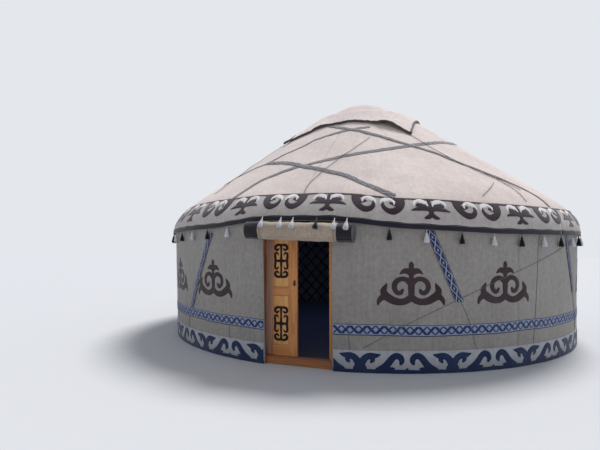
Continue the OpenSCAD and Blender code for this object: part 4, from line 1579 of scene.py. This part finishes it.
    def build(self) -> list[Thing]:
        """Joint the leaf."""
        t, s = self.thick / 2, self.swing
        x0, x1 = self.stile - t, s - self.stile
        hinge = self.board((-t, -t, self.low), (x0, t, self.high), 0.008, False, 0.0)
        lock = self.board((x1, -t, self.low), (s, t, self.high), 0.004, False, 1.7)
        rails = [self.board((x0 + 0.0004, -t + 0.0006, z0), (x1 - 0.0004, t - 0.0006, z1), 0.003, True,
                            0.9 * k + 4) for k, (z0, z1) in enumerate(self.rails)]
        base = self.piece("hinge_stile", [hinge], self.finishes.hinge_stile)
        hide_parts(f"door_leaf_{self.hand.value}")
        self.piece("lock_stile", [lock], self.finishes.stile)
        self.piece("rails", rails, self.finishes.stile)
        opens = ((self.rails[0][1], self.rails[1][0]), (self.rails[1][1], self.rails[2][0]))
        panels = [self.panel(x0 + 0.0005, x1 - 0.0005, z0 + 0.0005, z1 - 0.0005, 2.3 + k)
                  for k, (z0, z1) in enumerate(opens)]
        fields = self.piece("panels", panels, self.finishes.panel)
        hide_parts(f"door_panels_{self.hand.value}")
        self.piece("mouldings", [self.moulding(x0, x1, z0, z1, side)
                                 for z0, z1 in opens for side in (-1, 1)], self.finishes.stile)
        middle = (x0 + x1) / 2
        scrolls = []
        for z in (0.50, 1.30):
            scrolls.append(lay_motif(Ornament.DOOR_SCROLLS.value, lambda x, y, lift, z=z: np.stack(
                [middle + x, -0.0100 - lift, z + y], -1), 0.002))
        self.piece("scrolls", scrolls, self.finishes.scrolls)
        pins = []
        for z0, z1 in ((self.low - 0.025, self.low + 0.002), (self.high - 0.002, self.high + 0.025)):
            path = np.array([(0, 0, z) for z in np.linspace(z0, z1, 6)])
            points, faces, _ = tube(path, np.array([0.0088, 0.0099, 0.0099, 0.0099, 0.0099, 0.0088]), 24)
            pins.append((points, faces))
        self.piece("pins", pins, self.finishes.stile, smooth=True)
        plate = self.board((s - 0.052, -t - 0.0025, 0.985), (s - 0.024, -t + 0.0005, 1.055), 0.0014,
                           False, 0.0)
        ring = np.array([(s - 0.038 + 0.016 * math.sin(g), -t - 0.0045 - 0.004 * (1 - math.cos(g)),
                          1.012 + 0.016 * math.cos(g)) for g in np.linspace(0, 2 * math.pi, 25)])
        points, faces, _ = tube(ring, 0.0026, 7)
        self.piece("latch", [plate, (points, faces)], self.finishes.iron)
        LOG.info("%s leaf: %d pieces", self.hand.value, len(self.parts))
        return self.parts


def new_tree(name: str, inputs: Sequence[tuple]) -> tuple[Tree, dict[str, str], bpy.types.Node]:
    """Start a Geometry Nodes tree that takes a mesh and gives one.

    Args:
        name: The tree's name.
        inputs: For each further input, its name, the end of its socket type and its default.

    Returns:
        The tree, the identifiers by which a modifier sets its inputs, and the node that holds them.
    """
    tree = bpy.data.node_groups.new(name, "GeometryNodeTree")
    ids = {}
    for label, kind, value in (("Geometry", "Geometry", None), *inputs):
        socket = tree.interface.new_socket(label, in_out="INPUT", socket_type=f"NodeSocket{kind}")
        if value is not None:
            socket.default_value = value
        ids[label] = socket.identifier
    tree.interface.new_socket("Geometry", in_out="OUTPUT", socket_type="NodeSocketGeometry")
    return tree, ids, add_node(tree, "NodeGroupInput")


def passed_out(tree: Tree, copies: Socket, finish: Socket) -> None:
    """Turn a tree's copies into a mesh, give it a finish and pass it out."""
    real = add_node(tree, "GeometryNodeRealizeInstances", {"Geometry": copies})
    painted = add_node(tree, "GeometryNodeSetMaterial", {"Geometry": real.outputs["Geometry"],
                                                         "Material": finish})
    add_node(tree, "NodeGroupOutput", {"Geometry": painted.outputs["Geometry"]})


def grown(host: Thing, tree: Tree, values: dict, name: str) -> Thing:
    """Run a Geometry Nodes tree on an object and keep what it makes as a plain mesh.

    Args:
        host: The object that it starts from, which is removed.
        tree: The tree.
        values: Its inputs, by identifier.
        name: The new piece's name.

    Returns:
        The new piece.
    """
    modifier = host.modifiers.new("grow", "NODES")
    modifier.node_group = tree
    for key, value in values.items():
        modifier[key] = value
    bpy.context.view_layer.update()
    result = host.evaluated_get(bpy.context.evaluated_depsgraph_get())
    mesh = bpy.data.meshes.new_from_object(result)
    mesh.name = name
    host.modifiers.remove(modifier)
    bpy.data.objects.remove(host)
    return in_scene(name, mesh)


@dataclass
class TasselRow:
    """Wool tassels hung round the eave from a rope, some of them lying on the rolled felt."""

    light: Finish
    dark: Finish
    rope: Finish
    radius: float = 3.5998
    out: float = 0.004
    first: float = 18.3
    pitch: float = (343.4 - 18.3) / 47
    seed: int = 11

    def unit(self) -> Thing:
        """Make one tassel: its cord, its bound head and a skirt of strands."""
        profile = ((0.004, 0.008), (0.0045, -0.031), (0.012, -0.035), (0.0148, -0.041), (0.0128, -0.049),
                   (0.0125, -0.053), (0.020, -0.072), (0.026, -0.098), (0.0315, -0.128), (0.0275, -0.143),
                   (0.010, -0.137))
        sides = 22
        rings = []
        for k, (r, z) in enumerate(profile):
            turn = np.arange(sides) / sides * 2 * math.pi
            strands = 1 + (0.10 if k > 5 else 0.03) * np.cos(np.arange(sides) * math.pi)
            tips = 0.006 * np.sin(np.arange(sides) * 2.4) if k >= 8 else 0.0
            rings.append(np.stack([r * strands * np.cos(turn), r * strands * np.sin(turn),
                                   np.full(sides, z) + tips], 1))
        points = np.vstack(rings)
        faces = []
        for k in range(len(profile) - 1):
            for j in range(sides):
                q = (j + 1) % sides
                faces.append((k * sides + j, (k + 1) * sides + j, (k + 1) * sides + q, k * sides + q))
        faces.append(tuple(range(sides)))
        faces.append(tuple((len(profile) - 1) * sides + j for j in range(sides - 1, -1, -1)))
        return mesh_object("tassel_unit", points, faces, self.light)

    def tree(self) -> tuple[Tree, dict[str, str]]:
        """Make the tree that hangs a tassel on every point, turned and sized a little differently."""
        tree, ids, given = new_tree("hang_tassels", (
            ("Tassel", "Object", None), ("Smallest", "Float", 0.94), ("Largest", "Float", 1.06),
            ("Finish", "Material", None)))
        unit = add_node(tree, "GeometryNodeObjectInfo", {"Object": given.outputs["Tassel"]})
        turn = add_node(tree, "GeometryNodeInputNamedAttribute", {"Name": "turn"}, data_type="FLOAT_VECTOR")
        rotation = add_node(tree, "FunctionNodeEulerToRotation", {0: turn.outputs["Attribute"]})
        size = add_node(tree, "FunctionNodeRandomValue", {"Min": 0.9}, data_type="FLOAT")
        floats = [s for s in size.inputs if s.type == "VALUE" and s.enabled]
        tree.links.new(given.outputs["Smallest"], floats[0])
        tree.links.new(given.outputs["Largest"], floats[1])
        size.inputs["Seed"].default_value = self.seed
        value = next(s for s in size.outputs if s.type == "VALUE" and s.enabled)
        hung = add_node(tree, "GeometryNodeInstanceOnPoints", {
            "Points": given.outputs["Geometry"], "Instance": unit.outputs["Geometry"],
            "Rotation": rotation.outputs[0], "Scale": value})
        passed_out(tree, hung.outputs["Instances"], given.outputs["Finish"])
        return tree, ids

    def hung(self, a: float) -> tuple[Array, Array]:
        """Place and turn of a tassel that hangs free."""
        t = math.radians(a)
        r = self.radius + self.out
        z = float(along(EAVE, a)) - 0.0088
        return np.array([r * math.sin(t), -r * math.cos(t), z]), np.array([0.0, 0.0, t])

    def rested(self, a: float) -> tuple[Array, Array]:
        """Place and turn of a tassel that lies on the front of the rolled felt."""
        x = self.radius * math.sin(math.radians(a))
        z = 1.8265 - (x - DoorRoll.middle[0]) * math.tan(math.radians(DoorRoll.slope_deg))
        return np.array([x, -3.7121, z]), np.array([math.radians(-32), 0.0, 0.0])

    def build(self) -> list[Thing]:
        """Hang both colours, and run the rope."""
        tree, ids = self.tree()
        unit = self.unit()
        rows = {
            "light": ([self.hung(self.first + k * self.pitch) for k in range(1, 48, 2)]
                      + [self.rested(a) for a in (-5.9, -1.9, 0.6, 8.9, 11.3)]),
            "dark": ([self.hung(self.first + k * self.pitch) for k in range(0, 48, 2)] + [self.rested(5.4)])}
        made = []
        for shade, places in rows.items():
            mesh = bpy.data.meshes.new(f"{shade}_places")
            mesh.from_pydata([tuple(p) for p, _ in places], [], [])
            turn = mesh.attributes.new("turn", "FLOAT_VECTOR", "POINT")
            turn.data.foreach_set("vector", np.array([r for _, r in places], np.float32).ravel())
            host = in_scene(f"{shade}_places", mesh)
            finish = self.light if shade == "light" else self.dark
            piece = grown(host, tree, {ids["Tassel"]: unit, ids["Finish"]: finish}, f"tassels_{shade}_wool")
            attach(piece, "yurt")
            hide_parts(f"tassels_{shade}")
            made.append(piece)
        bpy.data.objects.remove(unit)
        a = np.linspace(0, 360, 481)
        r = self.radius + self.out
        z = along(EAVE, a) - 0.0044
        path = np.stack([r * np.sin(np.radians(a)), -r * np.cos(np.radians(a)), z], 1)
        points, faces, uv = tube(path, 0.0042, 7)
        rope = mesh_object("tassel_rope_twisted", points, faces, self.rope, uv)
        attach(rope, "yurt")
        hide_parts("tassel_rope")
        made.append(rope)
        LOG.info("tassels: %d", sum(len(p) for p in rows.values()))
        return made


@dataclass
class Ropes:
    """Thin wool ropes tied over the felts, each held along its whole length."""

    wall: Turned
    roof: Turned
    finish: Finish
    thick: float = 0.003
    on_wall: tuple = (
        ((13.3, 0.29), (22.6, 0.602), (33.8, 0.909), (44.7, 1.158), (61.7, 1.465), (72.0, 1.63)),
        ((52.3, 1.64), (51.9, 1.40), (51.7, 1.185), (51.2, 0.70), (50.5, 0.265)),
        ((10.28, 0.575), (10.5, 0.45), (10.8, 0.265)),
        ((-17.0, 0.43), (-17.04, 0.265)))
    on_roof: tuple = (
        ((16.5, 1.89), (8.9, 2.31), (3.7, 2.68), (0.6, 3.11), (0.5, 3.34)),
        ((48.5, 3.06), (44, 3.22), (39.5, 3.37)),
        ((37, 1.65), (40, 1.99), (44, 2.49), (48.7, 2.84), (53, 2.98), (55, 3.21)),
        ((50.5, 2.80), (52.0, 2.93), (52.7, 3.20), (51.6, 3.42)),
        ((-52, 1.60), (-44, 2.10), (-38, 2.62), (-35, 3.12)))

    def build(self) -> Thing:
        """Lay all ropes, repeated on the far side, and one below each strap."""
        parts = []
        wall_lines = [tuple((a + turn, z) for a, z in line) for line in self.on_wall for turn in (0, 180)]
        for top in (26.0, 64.0, 103.0, 142.0, -64.0, -103.0, -142.0):
            turn = math.copysign(1.0, top)
            wall_lines.append(((top + turn * 6.2, 0.845), (top + turn * 8.0, 0.60),
                               (top + turn * 9.6, 0.265)))
        wall_lines.append(((-34.7, 0.44), (-34.9, 0.265)))
        for line in wall_lines:
            path = smooth_path(line, 14)
            over = 0.0046 * (np.abs(path[:, 1] - 0.50) < 0.068) + self.thick
            parts.append(tube(self.wall.place(path[:, 0], path[:, 1], over), self.thick, 7))
        for line in self.on_roof:
            for turn in (0, 180):
                path = smooth_path([(a + turn, r) for a, r in line], 14)
                runs = self.roof.run_at_radius(path[:, 1])
                parts.append(tube(self.roof.place(path[:, 0], runs, 0.011), self.thick + 0.001, 7))
        points, faces = joined([(p, f) for p, f, _ in parts])
        obj = mesh_object("tied_ropes", points, faces, self.finish, np.vstack([uv for _, _, uv in parts]))
        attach(obj, "yurt")
        LOG.info("ropes: %d", len(parts))
        return obj


@dataclass
class Stitching:
    """Hand stitches along seams and edges."""

    wall: Turned
    roof: Turned
    finish: Finish
    frieze: EaveFrieze
    spacing: float = 0.034
    long: float = 0.020
    thick: float = 0.0016
    skirt_first: float = 7.6
    skirt_pitch: float = 115.0
    seam_first: float = 7.353
    seam_pitch: float = 38.366

    def tree(self) -> tuple[Tree, dict[str, str]]:
        """Make the tree that sets a stitch every few centimetres along a line."""
        tree, ids, given = new_tree("stitch_lines", (
            ("Spacing", "Float", self.spacing), ("Length", "Float", self.long),
            ("Thickness", "Float", self.thick), ("Finish", "Material", None)))
        curve = add_node(tree, "GeometryNodeMeshToCurve", {"Mesh": given.outputs["Geometry"]})
        spaced = add_node(tree, "GeometryNodeResampleCurve", {"Curve": curve.outputs["Curve"],
                                                              "Length": given.outputs["Spacing"]},
                          mode="LENGTH")
        tangent = add_node(tree, "GeometryNodeInputTangent")
        turn = add_node(tree, "FunctionNodeAlignRotationToVector", {"Vector": tangent.outputs["Tangent"]},
                        axis="Z")
        stitch = add_node(tree, "GeometryNodeMeshCylinder", {
            "Vertices": 6, "Radius": given.outputs["Thickness"], "Depth": given.outputs["Length"]})
        sewn = add_node(tree, "GeometryNodeInstanceOnPoints", {
            "Points": spaced.outputs["Curve"], "Instance": stitch.outputs["Mesh"],
            "Rotation": turn.outputs["Rotation"]})
        passed_out(tree, sewn.outputs["Instances"], given.outputs["Finish"])
        return tree, ids

    def build(self) -> Thing:
        """Sew the frieze's border, the skirt's top, and the seams of wall and roof."""
        lines = []
        for k in range(3):
            a = np.linspace(k * 120 + 60.2, k * 120 + 179.8, 240)
            lines.append(self.roof.place(a, self.frieze.low(a) + self.frieze.border_w - 0.008, 0.0172))
            lines.append(self.roof.place(a, self.frieze.high(a) - 0.007, 0.0172))
            b = np.linspace(self.skirt_first + k * self.skirt_pitch,
                            self.skirt_first + (k + 1) * self.skirt_pitch - 0.3, 240)
            lines.append(self.wall.place(b, 0.247, 0.0066))
        for k in range(1, 9):
            s = np.linspace(0.27, 1.66, 60)
            lines.append(self.wall.place(self.seam_first + k * self.seam_pitch + 0.28, s, 0.0004))
        for k in range(6):
            s = np.linspace(self.roof.run_at_height(SLOPE_Z), self.roof.run_at_radius(1.45), 70)
            lines.append(self.roof.place(k * 60 + 0.35, s, 0.0004))
        points, edges, start = [], [], 0
        for line in lines:
            points.append(line)
            edges += [(start + i, start + i + 1) for i in range(len(line) - 1)]
            start += len(line)
        mesh = bpy.data.meshes.new("stitch_paths")
        mesh.from_pydata([tuple(p) for p in np.vstack(points)], edges, [])
        host = in_scene("stitch_paths", mesh)
        tree, ids = self.tree()
        values = {ids["Spacing"]: self.spacing, ids["Length"]: self.long,
                  ids["Thickness"]: self.thick, ids["Finish"]: self.finish}
        piece = grown(host, tree, values, "seam_stitches")
        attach(piece, "yurt")
        LOG.info("stitches: %d lines", len(lines))
        return piece


@dataclass
class Frame:
    """The carried-over timbers and the floor, which only get their finishes."""

    nodes: dict

    def dress(self, names: Sequence[str], finish: Finish) -> None:
        """Give CAD nodes a finish."""
        for name in names:
            mesh = self.nodes[name].data
            mesh.materials.clear()
            mesh.materials.append(finish)

    def build(self) -> None:
        """Finish the timbers and the floor felt."""
        upright = Timber("oiled pine, upright", "c98a55", "9a5a30", by_grain=False,
                         axis=(1, 1, 0.06)).build()
        level = Timber("oiled pine, level", "b87a4c", "86502c", by_grain=False, axis=(0.06, 1, 1),
                       wear=0.35).build()
        stained = {"by_grain": False, "wear": 0.2, "worn": "3a1a14"}
        willow = Timber("stained willow slats", "5a261e", "381511", axis=(0.4, 0.4, 0.25), roughness=0.6,
                        **stained).build()
        poles = Timber("stained willow poles", "83301f", "4c1810", axis=(0.3, 0.3, 0.2), roughness=0.55,
                       **stained).build()
        crown = Timber("stained birch", "7d2f20", "4a1812", axis=(0.3, 0.3, 1.0), roughness=0.5,
                       **stained).build()
        floor = WoolFelt("floor felt", "3a4158", "262b3e", stained=0.6, thread_mm=14).build()
        self.dress(["door_jamb_left", "door_jamb_right"], upright)
        self.dress(["door_sill", "door_lintel"], level)
        self.dress([f"lattice_{k}" for k in range(1, 7)], willow)
        self.dress([f"roof_poles_{k}" for k in range(1, 5)], poles)
        self.dress(["crown_ring", "crown_slats"], crown)
        self.dress(["floor_mat"], floor)
        LOG.info("timbers and floor")


@dataclass
class Studio3D:
    """Pale floor, soft light and the camera at the photograph's place."""

    eye: Point = (2.114, -8.674, 1.479)
    heading_deg: float = 21.83
    pitch_deg: float = 2.79
    lens: float = 27.0

    def camera(self) -> None:
        """Set the camera."""
        data = bpy.data.cameras.new("eye")
        data.lens = self.lens
        data.sensor_width = 36.0
        data.clip_end = 500
        thing = in_scene("eye", data)
        thing.location = self.eye
        thing.rotation_euler = (math.radians(90 + self.pitch_deg), 0.0, math.radians(self.heading_deg))
        bpy.context.scene.camera = thing

    def lamp(self, name: str, kind: str, energy: float, euler: Point, place: Point = (0, 0, 8),
             size: float = 1.0, spread: float = 0.3) -> None:
        """Set one lamp.

        Args:
            name: Its name.
            kind: AREA or SUN.
            energy: Its strength.
            euler: Its turn in degrees.
            place: Where it stands.
            size: An area lamp's width.
            spread: A sun's apparent width.
        """
        data = bpy.data.lights.new(name, kind)
        data.energy = energy
        if kind == "AREA":
            data.shape = "DISK"
            data.size = size
            data.color = linear("9db8ff")[:3]
        else:
            data.angle = spread
        thing = in_scene(name, data)
        thing.location = place
        thing.rotation_euler = tuple(math.radians(e) for e in euler)

    def build(self) -> None:
        """Set floor, world, lamps and camera."""
        scene = bpy.context.scene
        scene.view_settings.view_transform = "Standard"
        self.camera()
        side = 60.0
        points = np.array([(-side, -side, 0), (side, -side, 0), (side, side, 0), (-side, side, 0)], float)
        paper = Studio("matt studio paper", "c9cacd").build()
        floor = mesh_object("studio_floor", points - np.array([0, 0, 0.0005]), [(0, 1, 2, 3)], paper,
                            smooth=False)
        world = bpy.data.worlds.new("studio")
        world.use_nodes = True
        tree = world.node_tree
        light = tree.nodes["Background"]
        light.inputs["Color"].default_value = linear("e8ecf4")
        light.inputs["Strength"].default_value = 0.55
        seen = add_node(tree, "ShaderNodeBackground", {"Color": linear("e4e7ec"), "Strength": 1.0})
        ray = add_node(tree, "ShaderNodeLightPath")
        straight = add_node(tree, "ShaderNodeMath", {0: ray.outputs["Is Camera Ray"],
                                                     1: ray.outputs["Is Glossy Ray"]}, operation="MAXIMUM")
        mix = add_node(tree, "ShaderNodeMixShader", {0: straight.outputs[0], 1: light.outputs[0],
                                                     2: seen.outputs[0]})
        tree.links.new(mix.outputs[0], tree.nodes["World Output"].inputs["Surface"])
        scene.world = world
        # A high soft key from behind on the right: the roof is bright and the wall in front shaded
        self.lamp("key", "SUN", 3.2, (31, 0, 165), spread=0.35)
        # Light that comes in through the felts and the smoke hole
        self.lamp("inside", "AREA", 12, (0, 0, 0), (0, -0.6, 2.4), 2.4)
        LOG.info("studio")


def main() -> None:
    """Build the yurt in order: frame, felts, bands, door, ropes, studio."""
    logging.basicConfig(level=logging.INFO, format="%(message)s")
    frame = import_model()
    wall = Turned(wall_line(), wall_wave)
    roof = Turned(roof_line(), roof_wave)
    Frame(frame["nodes"]).build()

    # The wall felt is the roof's cream cloth written darker and greyer: painted shade, for a wall that
    # stands in shade.
    wall_felt = WoolFelt("wall felt", "a4a09b", "827d78", stained=0.35, low_dirt=True).build()
    roof_felt = WoolFelt("roof felt", "eadcd6", "c4b5af", stained=0.4).build()
    cover_felt = WoolFelt("cover felt", "ecdfda", "bfb1ab", stained=0.4).build()
    ground = WoolFelt("frieze felt", "c6c0bb", "a39d9a", stained=0.25, thread_mm=7).build()
    skirt_felt = WoolFelt("skirt felt", "c3c5cc", "9a9ca6", stained=0.25, thread_mm=7, low_dirt=True).build()
    roll_felt = WoolFelt("rolled felt", "b9a998", "94826f", stained=0.35).build()
    dark_roll = WoolFelt("dark rolled felt", "1f1c26", "14131c", stained=0.4).build()
    grey_roll = WoolFelt("rolled edge felt", "5b5452", "3c3838", stained=0.5, thread_mm=12).build()
    border = AppliqueFelt("border felt", "23222c", "34303a").build()
    binding = AppliqueFelt("binding felt", "43282b", "5c4346").build()
    frieze_horns = AppliqueFelt("frieze horn felt", "33262f", "4d3f46").build()
    # The swirls are cream felt written near-white: partly their own colour, partly painted sunlight on the
    # frieze's upper part.
    swirls = AppliqueFelt("cream swirl felt with painted sunlight", "f0ecec", "d8d2d3").build()
    skirt_horns = AppliqueFelt("skirt horn felt", "1e2e50", "344362").build()
    wall_horns = AppliqueFelt("wall horn felt", "392d30", "50434a").build()
    round_band = WovenBand("woven wall band", 0.13, 0.20, light="98a5c4", zigzag=True, edge=0.26,
                           rim="2b3558").build()
    strap = WovenBand("woven strap", 0.095, 0.165, light="aeb7cf", dark="26325c", edge=0.20).build()
    roof_strap = WovenBand("woven roof strap", 0.075, 0.14, dark="3f4048", light="c9c3c0", edge=0.24,
                           rim="6b686e").build()
    grey_rope = WoolYarn("grey wool rope", "857c76", "57504c").build()
    pale_thread = WoolYarn("pale thread", "9d968f", "7a736c", lay_mm=5).build()
    light_wool = WoolYarn("white loose wool", "e0dfe4", "a9a8b2", loose=True).build()
    dark_wool = WoolYarn("black loose wool", "191a22", "0c0c10", loose=True).build()
    pine = Timber("oiled pine boards", "cf8f55", "a56634", wear=0.2).build()
    # The left leaf's hinge stile is darker and browner than the other boards.
    darker_pine = Timber("weathered pine board", "b48c76", "6b4c3f", wear=0.5, worn="63504a",
                       roughness=0.75).build()
    panel_pine = Timber("oiled pine panels", "e0a868", "c3854a", wear=0.12, ring_mm=14).build()
    scroll_black = AppliqueFelt("blackened carving", "221b1d", "33292a").build()
    iron = ForgedIron("forged iron").build()

    WallFelts(wall, wall_felt).build()
    RoofFelts(roof, roof_felt).build()
    frieze = EaveFrieze(roof, ground, border, binding, frieze_horns, swirls)
    frieze.build()
    Skirt(wall, skirt_felt, skirt_horns).build()
    WallOrnaments(wall, wall_horns).build()
    Bands(wall, roof, round_band, strap, roof_strap).build()
    CrownCover(roof, cover_felt, grey_roll).build()
    DoorRoll().build(roll_felt, dark_roll, grey_rope)
    DoorLeaf(Hand.LEFT, LeafFinishes(pine, darker_pine, panel_pine, scroll_black, iron)).build()
    DoorLeaf(Hand.RIGHT, LeafFinishes(pine, pine, panel_pine, scroll_black, iron)).build()
    TasselRow(light_wool, dark_wool, grey_rope).build()
    Ropes(wall, roof, grey_rope).build()
    Stitching(wall, roof, pale_thread, frieze).build()
    Studio3D().build()


if __name__ == "__main__":
    main()
